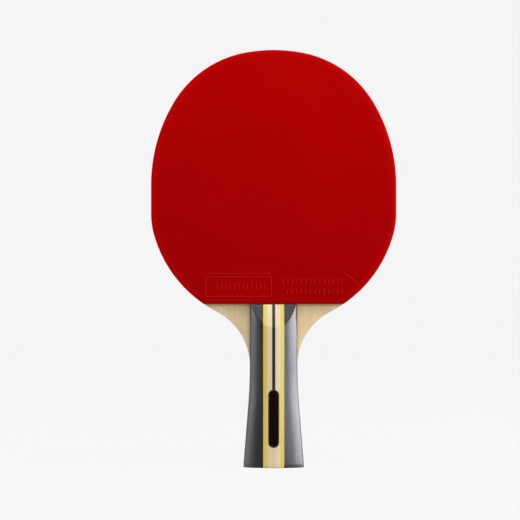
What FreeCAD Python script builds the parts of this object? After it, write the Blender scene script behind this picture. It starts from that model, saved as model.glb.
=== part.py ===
"""Shakehand table tennis paddle, built from the separate pieces that are glued together to make it.

The frame: millimetres, +Z from the butt of the handle to the tip of the head, the front (red)
playing face towards -Y, the rear (black) one towards +Y, and the origin at the middle of the butt.
Left is -X and right is +X, as seen from the front.

The blade is a five-ply board whose outline runs down the whole handle. A sponge and a topsheet are
glued to each face of the head, and a scale of coloured sticks to each face of the handle.
"""

import FreeCAD, Part
import math
import os

import Sketcher

# Every size that can be set by itself: alias, value, meaning. Values are in millimetres, except
# for the two whose meaning names degrees.
SIZES = (
    ("handle_length", 100.0, "butt to the straight lower edge of the rubbers"),
    ("head_width", 150.0, "between the straight stretches of the two sides"),
    ("lower_rise", 62.8, "lower edge of the rubbers to the centre of the lower circle"),
    ("lower_swell", 1.0, "how far the lower circle would pass outside the straight side"),
    ("corner_radius", 48.0, "arc from the lower circle to the straight side"),
    ("side_length", 17.3, "straight stretch of the side"),
    ("dome_height", 82.7, "top of the straight side to the tip"),
    ("shoulder_radius", 64.5, "middle arc of the dome, between cheek and tip"),
    ("tip_angle", 11.2, "degrees that the tip arc turns on each side of the middle"),
    ("cheek_angle", 30.8, "degrees that the cheek arc turns above the straight side"),
    ("waist_width", 29.1, "handle at its narrowest"),
    ("neck_height", 62.2, "butt to the waist, where neck and flare meet"),
    ("flare_height", 50.5, "butt to where the straight flared sides would meet the waist"),
    ("butt_width", 37.2, "handle at the butt"),
    ("face_ply", 0.7, "thickness of an outer veneer"),
    ("inner_ply", 1.0, "thickness of a cross-grain veneer"),
    ("core_ply", 2.6, "thickness of the core"),
    ("sponge", 2.0, "thickness of a sponge"),
    ("topsheet", 1.7, "thickness of a topsheet with its pimples"),
    ("rubber_corner", 1.6, "rounding of the two lower corners of a rubber"),
    ("rim_round", 0.8, "rounding of the outer rim of a topsheet"),
    ("strip_inset", 4.6, "lower edge of the rubbers to the moulded strip"),
    ("strip_height", 11.9, "height of the moulded strip"),
    ("strip_margin", 1.3, "outer end of the moulded strip to a line up from the rubber's corner"),
    ("strip_split", 1.4, "middle of the paddle to the inner end of each half of the strip"),
    ("strip_line", 0.6, "width of the moulded lines"),
    ("strip_relief", 0.25, "height of the moulded lines above the topsheet"),
    ("crown_height", 8.6, "scale above the blade at the waist"),
    ("butt_crown", 9.3, "scale above the blade at the butt"),
    ("crown_margin", 0.4, "how far the crown's ellipse passes outside the handle's side"),
    ("scale_gap", 0.3, "top of a scale to the lower edge of the rubber"),
    ("scoop_length", 14.0, "height of the slanted cut at the top of a scale"),
    ("scoop_edge", 3.3, "what the slanted cut leaves above the blade at the top"),
    ("centre_width", 8.2, "pale centre strip"),
    ("stripe_width", 2.3, "yellow stripe"),
    ("inlay_width", 1.9, "dark line in the centre strip"),
    ("badge_width", 6.7, "capsule plate"),
    ("badge_length", 35.4, "capsule plate"),
    ("badge_rise", 12.4, "butt to the lower end of the capsule plate"),
    ("badge_plate", 1.2, "thickness of the capsule plate below the waist's crown"),
    ("overrun", 2.0, "how far a cutting shape passes outside what it cuts"),
)

BLADE_HALF = "(Sizes.core_ply / 2 + Sizes.inner_ply + Sizes.face_ply)"
LOWER_RADIUS = "(Sizes.head_width / 2 + Sizes.lower_swell)"
RUBBER_REACH = "sqrt(%s ^ 2 - Sizes.lower_rise ^ 2)" % LOWER_RADIUS
SCALE_TOP = "(Sizes.handle_length - Sizes.scale_gap)"
FRONT = 1
REAR = -1
TOUCH = 1e-6
MOSTLY = 0.5
ORIGIN_POINT = (-1, 1)
ACROSS = -1
UPRIGHT = -2

doc = FreeCAD.newDocument("Paddle")
nodes = []


def fill_sheet():
    """Write the driving sizes into the spreadsheet, one named row each."""
    sheet = doc.addObject("Spreadsheet::Sheet", "Sizes")
    for row, (alias, value, meaning) in enumerate(SIZES, start=1):
        sheet.set("A%d" % row, meaning)
        sheet.set("B%d" % row, str(value))
        sheet.setAlias("B%d" % row, alias)
    doc.recompute()
    return sheet


sheet = fill_sheet()


def size(alias):
    """The sheet's own value of one size, for placing a sketch's first draft."""
    return float(sheet.get(alias))


def bind(thing, **formulas):
    """Bind properties of an object to formulas over the sheet."""
    for name, formula in formulas.items():
        thing.setExpression(name.replace("__", "."), formula)


# Sketch drawing. A stroke is (geometry number, position of its upper end, position of its lower end).

def draw_line(sketch, upper, lower):
    """Add a straight stroke between two points."""
    line = Part.LineSegment(FreeCAD.Vector(*upper, 0), FreeCAD.Vector(*lower, 0))
    return sketch.addGeometry(line, False), 1, 2


def draw_arc(sketch, centre, upper, lower):
    """Add the shorter arc about a centre between two points."""
    radius = math.dist(centre, upper)
    at_upper = math.atan2(upper[1] - centre[1], upper[0] - centre[0])
    at_lower = math.atan2(lower[1] - centre[1], lower[0] - centre[0])
    circle = Part.Circle(FreeCAD.Vector(*centre, 0), FreeCAD.Vector(0, 0, 1), radius)
    if (at_lower - at_upper) % math.tau < math.pi:
        return sketch.addGeometry(Part.ArcOfCircle(circle, at_upper, at_lower), False), 1, 2
    return sketch.addGeometry(Part.ArcOfCircle(circle, at_lower, at_upper), False), 2, 1


def hold(sketch, kind, *places):
    """Add a geometric constraint."""
    sketch.addConstraint(Sketcher.Constraint(kind, *places))


def measure(sketch, kind, places, formula, name):
    """Add a dimension that takes its value from the sheet."""
    if kind == "Radius":
        current = sketch.Geometry[places[0]].Radius
    elif kind == "Angle":
        arc = sketch.Geometry[places[0]]
        current = arc.LastParameter - arc.FirstParameter
    else:
        between = sketch.getPoint(*places[2:]) - sketch.getPoint(*places[:2])
        current = between.x if kind == "DistanceX" else between.y
    number = sketch.addConstraint(Sketcher.Constraint(kind, *places, current))
    sketch.renameConstraint(number, name)
    sketch.setExpression("Constraints." + name, formula)


def join_smoothly(sketch, strokes):
    """Make each stroke run on smoothly from the one above it."""
    for above, below in zip(strokes, strokes[1:]):
        hold(sketch, "Tangent", above[0], above[2], below[0], below[1])


def mirror_strokes(sketch, strokes, start):
    """Repeat strokes on the left, hanging from the given end; return the left end of the chain."""
    for number, upper, lower in strokes:
        right = sketch.Geometry[number]
        left = right.copy()
        left.mirror(FreeCAD.Vector(0, 0, 0), FreeCAD.Vector(0, 1, 0))
        copy = sketch.addGeometry(left, False)
        end_of_right = sketch.getPoint(number, lower)
        flipped = abs(sketch.getPoint(copy, lower).x + end_of_right.x) > TOUCH
        copy_upper, copy_lower = (lower, upper) if flipped else (upper, lower)
        hold(sketch, "Coincident", start[0], start[1], copy, copy_upper)
        hold(sketch, "Symmetric", number, lower, copy, copy_lower, UPRIGHT)
        if hasattr(right, "Radius"):
            hold(sketch, "Equal", number, copy)
        start = (copy, copy_lower)
    return start


def past(centre, through, radius):
    """The point at a radius from a centre, in the direction of another point."""
    share = radius / math.dist(centre, through)
    return (centre[0] + (through[0] - centre[0]) * share,
            centre[1] + (through[1] - centre[1]) * share)


def lower_circle():
    """Centre and radius of the circle that the lower head follows."""
    centre = (0.0, size("handle_length") + size("lower_rise"))
    return centre, size("head_width") / 2 + size("lower_swell")


def dome_radii():
    """Radii of tip and cheek arcs that carry the dome from the straight side up to the tip."""
    tip = math.radians(size("tip_angle"))
    cheek = math.radians(size("cheek_angle"))
    shoulder = size("shoulder_radius")
    width = size("head_width") / 2 - shoulder * (math.cos(cheek) - math.sin(tip))
    height = size("dome_height") - shoulder * (math.cos(tip) - math.sin(cheek))
    tip_drop = 1 - math.cos(tip)
    cheek_drift = 1 - math.cos(cheek)
    both = math.sin(tip) * math.sin(cheek) - tip_drop * cheek_drift
    tip_radius = (width * math.sin(cheek) - height * cheek_drift) / both
    cheek_radius = (height * math.sin(tip) - width * tip_drop) / both
    return tip_radius, cheek_radius


def draw_head(sketch, lower_end):
    """Draw the head from the tip down to an end on its lower circle; return tip and right strokes."""
    half = size("head_width") / 2
    low_centre, low_radius = lower_circle()
    corner_x = half - size("corner_radius")
    drop = math.sqrt((low_radius - size("corner_radius")) ** 2 - corner_x ** 2)
    corner_centre = (corner_x, low_centre[1] - drop)
    side_foot = (half, corner_centre[1])
    side_top = (half, side_foot[1] + size("side_length"))
    tip_point = (0.0, side_top[1] + size("dome_height"))

    tip_radius, cheek_radius = dome_radii()
    tip_centre = (0.0, tip_point[1] - tip_radius)
    cheek_centre = (half - cheek_radius, side_top[1])
    cheek = math.radians(size("cheek_angle"))
    cheek_end = (cheek_centre[0] + cheek_radius * math.cos(cheek),
                 cheek_centre[1] + cheek_radius * math.sin(cheek))
    shoulder_centre = past(cheek_centre, cheek_end, cheek_radius - size("shoulder_radius"))
    tip_turn = math.radians(size("tip_angle"))
    tip_end = (tip_radius * math.sin(tip_turn), tip_centre[1] + tip_radius * math.cos(tip_turn))
    corner_end = past(low_centre, corner_centre, low_radius)

    tip = draw_arc(sketch, tip_centre, (-tip_end[0], tip_end[1]), tip_end)
    right = [
        draw_arc(sketch, shoulder_centre, tip_end, cheek_end),
        draw_arc(sketch, cheek_centre, cheek_end, side_top),
        draw_line(sketch, side_top, side_foot),
        draw_arc(sketch, corner_centre, side_foot, corner_end),
        draw_arc(sketch, low_centre, corner_end, lower_end),
    ]
    shoulder, cheek, side, corner, low = [stroke[0] for stroke in right]
    top = sketch.addGeometry(Part.Point(FreeCAD.Vector(*tip_point, 0)), True)
    join_smoothly(sketch, [tip] + right)
    hold(sketch, "Symmetric", tip[0], tip[1], tip[0], tip[2], UPRIGHT)
    hold(sketch, "PointOnObject", tip[0], 3, UPRIGHT)
    hold(sketch, "PointOnObject", top, 1, UPRIGHT)
    hold(sketch, "PointOnObject", top, 1, tip[0])
    hold(sketch, "Vertical", side)
    hold(sketch, "PointOnObject", low, 3, UPRIGHT)
    measure(sketch, "Angle", (tip[0],), "2 * Sizes.tip_angle * 1 deg", "tip_angle")
    measure(sketch, "DistanceY", (side, 1, top, 1), "Sizes.dome_height", "dome_height")
    measure(sketch, "Radius", (shoulder,), "Sizes.shoulder_radius", "shoulder_radius")
    measure(sketch, "Angle", (cheek,), "Sizes.cheek_angle * 1 deg", "cheek_angle")
    measure(sketch, "DistanceX", (*ORIGIN_POINT, side, 1), "Sizes.head_width / 2", "half_width")
    measure(sketch, "DistanceY", (side, 2, side, 1), "Sizes.side_length", "side_length")
    measure(sketch, "Radius", (corner,), "Sizes.corner_radius", "corner_radius")
    measure(sketch, "Radius", (low,), LOWER_RADIUS, "lower_radius")
    measure(sketch, "DistanceY", (*ORIGIN_POINT, low, 3),
            "Sizes.handle_length + Sizes.lower_rise", "lower_centre")
    return tip, right


def draw_flare(sketch):
    """Draw the handle's right side from the waist down to the butt; return its strokes."""
    waist = size("waist_width") / 2
    butt = size("butt_width") / 2
    ease = size("neck_height") - size("flare_height")
    slope = math.atan2(butt - waist, size("flare_height"))
    start = (waist, size("neck_height"))
    end = (waist + ease * math.sin(slope), size("flare_height") - ease * math.cos(slope))
    centre = (waist + ease / math.tan(slope / 2), size("neck_height"))
    right = [draw_arc(sketch, centre, start, end), draw_line(sketch, end, (butt, 0.0))]
    bend, flare = [stroke[0] for stroke in right]
    corner = sketch.addGeometry(Part.Point(FreeCAD.Vector(waist, size("flare_height"), 0)), True)
    join_smoothly(sketch, right)
    hold(sketch, "Horizontal", bend, 3, bend, right[0][1])
    hold(sketch, "Vertical", corner, 1, bend, right[0][1])
    hold(sketch, "PointOnObject", corner, 1, flare)
    hold(sketch, "PointOnObject", flare, 2, ACROSS)
    measure(sketch, "DistanceX", (*ORIGIN_POINT, bend, right[0][1]),
            "Sizes.waist_width / 2", "half_waist")
    measure(sketch, "DistanceY", (*ORIGIN_POINT, bend, right[0][1]),
            "Sizes.neck_height", "neck_height")
    measure(sketch, "DistanceY", (*ORIGIN_POINT, corner, 1), "Sizes.flare_height", "flare_height")
    measure(sketch, "DistanceX", (*ORIGIN_POINT, flare, 2), "Sizes.butt_width / 2", "half_butt")
    return right


def close_below(sketch, right_end, left_end):
    """Close an outline with a straight line between its two lower ends."""
    left = sketch.getPoint(*left_end)
    right = sketch.getPoint(*right_end)
    line, upper, lower = draw_line(sketch, (left.x, left.y), (right.x, right.y))
    hold(sketch, "Coincident", line, upper, *left_end)
    hold(sketch, "Coincident", line, lower, *right_end)
    return line


def rubber_reach():
    """Half the length of a rubber's straight lower edge, corner to corner."""
    return math.sqrt(lower_circle()[1] ** 2 - size("lower_rise") ** 2)


def draw_board(sketch):
    """Draw the whole outline of a ply, head, neck and handle."""
    waist = size("waist_width") / 2
    low_centre, low_radius = lower_circle()
    fall = low_centre[1] - size("neck_height")
    neck_radius = (fall ** 2 + waist ** 2 - low_radius ** 2) / (2 * (low_radius - waist))
    neck_centre = (waist + neck_radius, size("neck_height"))
    neck_top = past(low_centre, neck_centre, low_radius)
    tip, head = draw_head(sketch, neck_top)
    neck = draw_arc(sketch, neck_centre, neck_top, (waist, size("neck_height")))
    flare = draw_flare(sketch)
    join_smoothly(sketch, [head[-1], neck, flare[0]])
    left_end = mirror_strokes(sketch, head + [neck] + flare, (tip[0], tip[1]))
    close_below(sketch, (flare[-1][0], flare[-1][2]), left_end)


def draw_rubber(sketch):
    """Draw the outline of a rubber: the head, cut off straight above the handle."""
    tip, head = draw_head(sketch, (rubber_reach(), size("handle_length")))
    left_end = mirror_strokes(sketch, head, (tip[0], tip[1]))
    close_below(sketch, (head[-1][0], head[-1][2]), left_end)
    measure(sketch, "DistanceY", (*ORIGIN_POINT, head[-1][0], head[-1][2]),
            "Sizes.handle_length", "lower_edge")


def draw_scale(sketch):
    """Draw the outline of a handle scale, from the butt to just below the rubber."""
    top = size("handle_length") - size("scale_gap")
    waist = size("waist_width") / 2
    lid, left_pos, right_pos = draw_line(sketch, (-waist, top), (waist, top))
    upright = draw_line(sketch, (waist, top), (waist, size("neck_height")))
    flare = draw_flare(sketch)
    join_smoothly(sketch, [upright, flare[0]])
    hold(sketch, "Symmetric", lid, left_pos, lid, right_pos, UPRIGHT)
    hold(sketch, "Coincident", lid, right_pos, upright[0], upright[1])
    measure(sketch, "DistanceY", (*ORIGIN_POINT, lid, right_pos), SCALE_TOP, "scale_top")
    left_end = mirror_strokes(sketch, [upright] + flare, (lid, left_pos))
    close_below(sketch, (flare[-1][0], flare[-1][2]), left_end)


def draw_rectangle(sketch, name, left, right, foot, top):
    """Draw a rectangle; each argument after the name is a pair of draft value and formula."""
    corners = ((left[0], foot[0]), (right[0], foot[0]), (right[0], top[0]), (left[0], top[0]))
    sides = [draw_line(sketch, corners[i], corners[(i + 1) % 4])[0] for i in range(4)]
    for number, side in enumerate(sides):
        hold(sketch, "Coincident", side, 2, sides[(number + 1) % 4], 1)
        hold(sketch, "Horizontal" if number % 2 == 0 else "Vertical", side)
    measure(sketch, "DistanceX", (*ORIGIN_POINT, sides[0], 1), left[1], name + "_left")
    measure(sketch, "DistanceX", (*ORIGIN_POINT, sides[0], 2), right[1], name + "_right")
    measure(sketch, "DistanceY", (*ORIGIN_POINT, sides[0], 1), foot[1], name + "_foot")
    measure(sketch, "DistanceY", (*ORIGIN_POINT, sides[2], 1), top[1], name + "_top")


def draw_frames(sketch):
    """Draw the two moulded frames, left and right of the middle, each a ring one line wide."""
    foot = size("handle_length") + size("strip_inset")
    top = foot + size("strip_height")
    foot_formula = "Sizes.handle_length + Sizes.strip_inset"
    top_formula = foot_formula + " + Sizes.strip_height"
    for side, name in ((-1, "left"), (1, "right")):
        near = side * size("strip_split")
        far = side * (rubber_reach() - size("strip_margin"))
        near_formula = "%d * Sizes.strip_split" % side
        far_formula = "%d * (%s - Sizes.strip_margin)" % (side, RUBBER_REACH)
        ends = sorted(((near, near_formula), (far, far_formula)))
        for ring, shrink in (("outer", 0), ("inner", 1)):
            inward = shrink * size("strip_line")
            inward_formula = "%d * Sizes.strip_line" % shrink
            draw_rectangle(
                sketch, name + "_" + ring,
                (ends[0][0] + inward, "%s + %s" % (ends[0][1], inward_formula)),
                (ends[1][0] - inward, "%s - %s" % (ends[1][1], inward_formula)),
                (foot + inward, "%s + %s" % (foot_formula, inward_formula)),
                (top - inward, "%s - %s" % (top_formula, inward_formula)))


def draw_capsule(sketch):
    """Draw the badge's outline, a slot with round ends."""
    radius = size("badge_width") / 2
    foot = size("badge_rise") + radius
    top = size("badge_rise") + size("badge_length") - radius
    right = draw_line(sketch, (radius, top), (radius, foot))[0]
    left = draw_line(sketch, (-radius, top), (-radius, foot))[0]
    ends = []
    for height, start in ((top, 0.0), (foot, math.pi)):
        circle = Part.Circle(FreeCAD.Vector(0, height, 0), FreeCAD.Vector(0, 0, 1), radius)
        ends.append(sketch.addGeometry(Part.ArcOfCircle(circle, start, start + math.pi), False))
    hold(sketch, "Tangent", ends[0], 1, right, 1)
    hold(sketch, "Tangent", ends[0], 2, left, 1)
    hold(sketch, "Tangent", ends[1], 1, left, 2)
    hold(sketch, "Tangent", ends[1], 2, right, 2)
    hold(sketch, "PointOnObject", ends[0], 3, UPRIGHT)
    hold(sketch, "PointOnObject", ends[1], 3, UPRIGHT)
    hold(sketch, "Equal", ends[0], ends[1])
    measure(sketch, "Radius", (ends[0],), "Sizes.badge_width / 2", "end_radius")
    measure(sketch, "DistanceY", (*ORIGIN_POINT, ends[1], 3),
            "Sizes.badge_rise + Sizes.badge_width / 2", "lower_end")
    measure(sketch, "DistanceY", (*ORIGIN_POINT, ends[0], 3),
            "Sizes.badge_rise + Sizes.badge_length - Sizes.badge_width / 2", "upper_end")


# Flat pieces: plies, sponges and topsheets, each a body of its own.

def body_sketch(body, name, level, draw):
    """Draw a sketch on a body's own XZ plane, at a level towards the front."""
    plane = [feature for feature in body.Origin.OriginFeatures if feature.Role == "XZ_Plane"][0]
    sketch = body.newObject("Sketcher::SketchObject", name)
    sketch.AttachmentSupport = (plane, "")
    sketch.MapMode = "FlatFace"
    bind(sketch, AttachmentOffset__Base__z=level)
    draw(sketch)
    return sketch


def add_pad(body, sketch, name, thickness, side):
    """Thicken a sketch away from the middle of the blade."""
    pad = body.newObject("PartDesign::Pad", name)
    pad.Profile = sketch
    pad.Reversed = side == REAR
    bind(pad, Length=thickness)
    sketch.Visibility = False
    doc.recompute()
    return pad


def make_layer(label, inner_level, thickness, side, draw):
    """Make one flat piece between two levels on one side of the blade's middle."""
    body = doc.addObject("PartDesign::Body", label)
    body.Label = label
    level = "%d * (%s)" % (side, inner_level)
    outline = body_sketch(body, label + "_outline", level, draw)
    add_pad(body, outline, label + "_pad", thickness, side)
    nodes.append(body)
    return body


def add_fillet(body, name, edges, radius):
    """Round the named edges of a body's last feature."""
    base = body.Tip
    fillet = body.newObject("PartDesign::Fillet", name)
    fillet.Base = (base, edges)
    bind(fillet, Radius=radius)
    doc.recompute()


def edges_where(shape, test):
    """Names of the edges whose every end passes a test."""
    return ["Edge%d" % number for number, edge in enumerate(shape.Edges, start=1)
            if all(test(vertex.Point) for vertex in edge.Vertexes)]


def round_corners(body):
    """Round a rubber's two lower corners."""
    foot = size("handle_length")
    shape = body.Shape
    upright = [name for name in edges_where(shape, lambda point: abs(point.z - foot) < TOUCH)
               if abs(shape.getElement(name).tangentAt(0).y) > MOSTLY]
    add_fillet(body, body.Name + "_corners", upright, "Sizes.rubber_corner")


def blade_half():
    """Half the thickness of the blade."""
    return size("core_ply") / 2 + size("inner_ply") + size("face_ply")


def finish_topsheet(body, side):
    """Round a topsheet's outer rim and raise its moulded frames."""
    outer = blade_half() + size("sponge") + size("topsheet")
    rim = edges_where(body.Shape, lambda point: abs(point.y + side * outer) < TOUCH)
    add_fillet(body, body.Name + "_rim", rim, "Sizes.rim_round")
    level = "%d * (%s + Sizes.sponge + Sizes.topsheet)" % (side, BLADE_HALF)
    frames = body_sketch(body, body.Name + "_frames", level, draw_frames)
    add_pad(body, frames, body.Name + "_strip", "Sizes.strip_relief", side)


def make_blade():
    """Make the five plies."""
    core = doc.addObject("PartDesign::Body", "core_ply")
    core.Label = "core_ply"
    outline = body_sketch(core, "core_ply_outline", "-Sizes.core_ply / 2", draw_board)
    add_pad(core, outline, "core_ply_pad", "Sizes.core_ply", FRONT)
    nodes.append(core)
    for side, name in ((FRONT, "front"), (REAR, "rear")):
        make_layer(name + "_inner_ply", "Sizes.core_ply / 2", "Sizes.inner_ply", side, draw_board)
        make_layer(name + "_face_ply", "Sizes.core_ply / 2 + Sizes.inner_ply",
                   "Sizes.face_ply", side, draw_board)


def make_rubbers():
    """Make the sponge and the topsheet of each side."""
    for side, name in ((FRONT, "front"), (REAR, "rear")):
        sponge = make_layer(name + "_sponge", BLADE_HALF, "Sizes.sponge", side, draw_rubber)
        round_corners(sponge)
        topsheet = make_layer(name + "_topsheet", BLADE_HALF + " + Sizes.sponge",
                              "Sizes.topsheet", side, draw_rubber)
        round_corners(topsheet)
        finish_topsheet(topsheet, side)


# Handle scales: one crowned form, cut into its sticks.

def standing_sketch(name, level, draw):
    """Draw a free sketch in an upright plane at a level towards the front."""
    sketch = doc.addObject("Sketcher::SketchObject", name)
    sketch.Placement.Rotation = FreeCAD.Rotation(FreeCAD.Vector(1, 0, 0), 90)
    bind(sketch, Placement__Base__y="-(%s)" % level)
    draw(sketch)
    doc.recompute()
    return sketch


def extrude_forward(name, sketch, length):
    """Extrude a standing sketch towards the front."""
    solid = doc.addObject("Part::Extrusion", name)
    solid.Base = sketch
    solid.DirMode = "Custom"
    solid.Dir = FreeCAD.Vector(0, -1, 0)
    solid.Solid = True
    bind(solid, LengthFwd=length)
    return solid


def crown_section(name, height, half_width, rise):
    """Make one level ellipse of the crown, centred on the blade's front face."""
    section = doc.addObject("Part::Ellipse", name)
    bind(section, MajorRadius="%s + Sizes.crown_margin" % half_width, MinorRadius=rise,
         Placement__Base__y="-" + BLADE_HALF, Placement__Base__z=height)
    return section


def make_crown():
    """Loft the rounded front of a scale through level ellipses."""
    waist = "Sizes.waist_width / 2"
    spread = "(Sizes.butt_width - Sizes.waist_width) / 2"
    growth = "(Sizes.butt_crown - Sizes.crown_height)"
    sections = []
    for name, height, flare_share in (
            ("crown_at_butt", "0", "1"),
            ("crown_low", "Sizes.flare_height / 3", "2 / 3"),
            ("crown_mid", "Sizes.flare_height * 2 / 3", "1 / 3"),
            ("crown_at_waist", "Sizes.neck_height", "0"),
            ("crown_high", "(Sizes.neck_height + Sizes.handle_length) / 2", "0"),
            ("crown_at_top", "Sizes.handle_length", "0")):
        sections.append(crown_section(
            name, height, "%s + %s * %s" % (waist, spread, flare_share),
            "Sizes.crown_height + %s * %s" % (growth, flare_share)))
    crown = doc.addObject("Part::Loft", "crown")
    crown.Sections = sections
    crown.Solid = True
    return crown


def combine(kind, name, base, tool):
    """Apply a Part boolean to two solids."""
    result = doc.addObject("Part::" + kind, name)
    result.Base = base
    result.Tool = tool
    return result


def make_scoop():
    """Make the wedge that the slanted cut takes off the top of a scale."""
    scoop = doc.addObject("Part::Wedge", "scoop")
    width = "(Sizes.waist_width / 2 + Sizes.overrun)"
    slant = "(Sizes.crown_height + Sizes.overrun - Sizes.scoop_edge)"
    whole = "(Sizes.crown_height - Sizes.scoop_edge)"
    lid = SCALE_TOP + " + Sizes.overrun"
    bind(scoop,
         Xmin="-" + width, X2min="-" + width, Xmax=width, X2max=width,
         Ymin="-(%s + Sizes.crown_height + Sizes.overrun)" % BLADE_HALF,
         Ymax="-(%s + Sizes.scoop_edge)" % BLADE_HALF,
         Zmin="%s - Sizes.scoop_length * %s / %s" % (SCALE_TOP, slant, whole),
         Z2min=SCALE_TOP, Zmax=lid, Z2max=lid)
    return scoop


def make_slab(name, left, width, foot):
    """Make a box that takes one upright slice of the front scale."""
    slab = doc.addObject("Part::Box", name)
    bind(slab, Length=width, Width="Sizes.butt_crown + 2 * Sizes.overrun",
         Height="Sizes.handle_length + Sizes.overrun - (%s)" % foot,
         Placement__Base__x=left,
         Placement__Base__y="-(%s + Sizes.butt_crown + Sizes.overrun)" % BLADE_HALF,
         Placement__Base__z=foot)
    return slab


def make_front_scale():
    """Make the front scale's sticks and badge; return them by their bare names."""
    outline = standing_sketch("scale_outline", BLADE_HALF, draw_scale)
    blank = extrude_forward("scale_blank", outline, "Sizes.butt_crown + Sizes.overrun")
    crowned = combine("Common", "crowned_scale", blank, make_crown())
    form = combine("Cut", "scale_form", crowned, make_scoop())

    capsule = standing_sketch(
        "badge_outline", BLADE_HALF + " + Sizes.crown_height - Sizes.badge_plate", draw_capsule)
    seat = extrude_forward("badge_seat", capsule,
                           "Sizes.badge_plate + Sizes.butt_crown + Sizes.overrun")
    inlay_foot = "Sizes.badge_rise + Sizes.badge_length - Sizes.badge_width / 2"
    line_slab = make_slab("inlay_slab", "-Sizes.inlay_width / 2", "Sizes.inlay_width", inlay_foot)
    centre_slab = make_slab("centre_slab", "-Sizes.centre_width / 2", "Sizes.centre_width", "0")

    pieces = {}
    centre = combine("Common", "centre_stick", form, centre_slab)
    grooved = combine("Cut", "grooved_centre", centre, line_slab)
    pieces["centre_strip"] = combine("Cut", "front_centre_strip", grooved, seat)
    line = combine("Common", "inlay_stick", form, line_slab)
    pieces["inlay_line"] = combine("Cut", "front_inlay_line", line, seat)
    pieces["badge"] = combine("Common", "front_badge", form, seat)
    for side, name in ((-1, "left"), (1, "right")):
        stripe_left = "%d * (Sizes.centre_width + Sizes.stripe_width) / 2" % side
        stripe_slab = make_slab(name + "_stripe_slab", stripe_left + " - Sizes.stripe_width / 2",
                                "Sizes.stripe_width", "0")
        block_width = "(Sizes.butt_width / 2 + Sizes.overrun)"
        block_middle = "%d * (Sizes.centre_width / 2 + Sizes.stripe_width + %s / 2)" % (
            side, block_width)
        block_slab = make_slab(name + "_block_slab", "%s - %s / 2" % (block_middle, block_width),
                               block_width, "0")
        pieces[name + "_stripe"] = combine(
            "Common", "front_" + name + "_stripe", form, stripe_slab)
        pieces[name + "_block"] = combine("Common", "front_" + name + "_block", form, block_slab)
    doc.recompute()
    return pieces


def make_handle():
    """Make the sticks of both scales; the rear ones mirror the front ones through the blade."""
    for bare_name, front in make_front_scale().items():
        front.Label = "front_" + bare_name
        rear = doc.addObject("Part::Mirroring", "rear_" + bare_name)
        rear.Label = "rear_" + bare_name
        rear.Source = front
        rear.Normal = FreeCAD.Vector(0, 1, 0)
        nodes.extend([front, rear])


def check_model():
    """Stop if any object failed or any node is not one valid solid."""
    for thing in doc.Objects:
        if "Invalid" in thing.State or "Error" in thing.State:
            raise RuntimeError("%s did not compute: %s" % (thing.Label, thing.State))
        if thing.TypeId == "Sketcher::SketchObject" and thing.solve() != 0:
            raise RuntimeError("%s has constraints that do not agree" % thing.Label)
    for node in nodes:
        shape = node.Shape
        if shape.isNull() or not shape.isValid() or len(shape.Solids) != 1:
            raise RuntimeError("%s is not one valid solid" % node.Label)


def export_nodes():
    """Write each node's solid to its own file."""
    os.makedirs("parts", exist_ok=True)
    for node in nodes:
        node.Shape.exportStep(os.path.join("parts", node.Label + ".step"))
        box = node.Shape.optimalBoundingBox(False)
        print("%-20s %9.1f mm3  x %6.2f..%6.2f  y %6.2f..%6.2f  z %6.2f..%6.2f" % (
            node.Label, node.Shape.Volume, box.XMin, box.XMax, box.YMin, box.YMax,
            box.ZMin, box.ZMax))


make_blade()
make_rubbers()
make_handle()
doc.recompute()
check_model()
export_nodes()
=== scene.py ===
"""A table tennis paddle, dressed around its fixed frame.

The paddle stands on its butt: +Z runs from butt to tip and the red face looks along -Y.
The size classes hold millimetres, which become metres where a mesh is made.
"""

import logging
import math
from collections.abc import Callable, Sequence
from dataclasses import dataclass, field
from enum import Enum

import bmesh
import bpy
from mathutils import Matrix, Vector


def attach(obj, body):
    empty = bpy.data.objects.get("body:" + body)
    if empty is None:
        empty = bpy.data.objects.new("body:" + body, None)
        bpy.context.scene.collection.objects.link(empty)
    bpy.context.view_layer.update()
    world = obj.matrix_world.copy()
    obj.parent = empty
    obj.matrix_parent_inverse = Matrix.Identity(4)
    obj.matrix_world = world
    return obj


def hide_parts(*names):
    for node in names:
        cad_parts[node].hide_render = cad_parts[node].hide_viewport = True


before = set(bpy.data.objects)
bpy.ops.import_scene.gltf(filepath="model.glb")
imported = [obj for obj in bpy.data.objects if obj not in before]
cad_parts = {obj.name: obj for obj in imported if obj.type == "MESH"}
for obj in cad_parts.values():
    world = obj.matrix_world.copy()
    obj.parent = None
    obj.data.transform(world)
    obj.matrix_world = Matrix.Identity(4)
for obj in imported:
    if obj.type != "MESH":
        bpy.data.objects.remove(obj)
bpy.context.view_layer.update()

MM = 0.001
BODY = "root"
SHARP_ANGLE = math.radians(32)
WHITE = (1.0, 1.0, 1.0, 1.0)
# Millimetres: points nearer than the first are welded, and heights nearer than the second level.
WELD = 1e-4
TOUCH = 0.01
# The least cosine that the inset of a sharp corner is divided by.
SHARPEST = 0.5
# The height of the rubbers' straight lower edge, in millimetres.
RUBBER_FOOT = 100.0
# The way, seen from the paddle, in which the studio is darkest in gloss.
DARK_WAY = (0.0, -0.993, -0.12)
log = logging.getLogger("paddle")

Point = tuple[float, float]
Place = tuple[float, float, float]
Tone = tuple[float, float, float]
Loop = list[Point]
Columns = Callable[[float, float], list[float]]


class Side(Enum):
    """A face of the blade, with the direction of Y that it looks along."""

    FRONT = -1
    REAR = 1

    @property
    def prefix(self) -> str:
        """The first word of the names of the pieces on this face."""
        return self.name.lower()


class Grain(Enum):
    """The way the fibres of a veneer run."""

    ALONG = 0.0
    ACROSS = math.pi / 2


class Flank(Enum):
    """A side of the handle, with the direction of X that it lies in."""

    LEFT = -1
    RIGHT = 1


# ---------------------------------------------------------------- nodes


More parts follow.
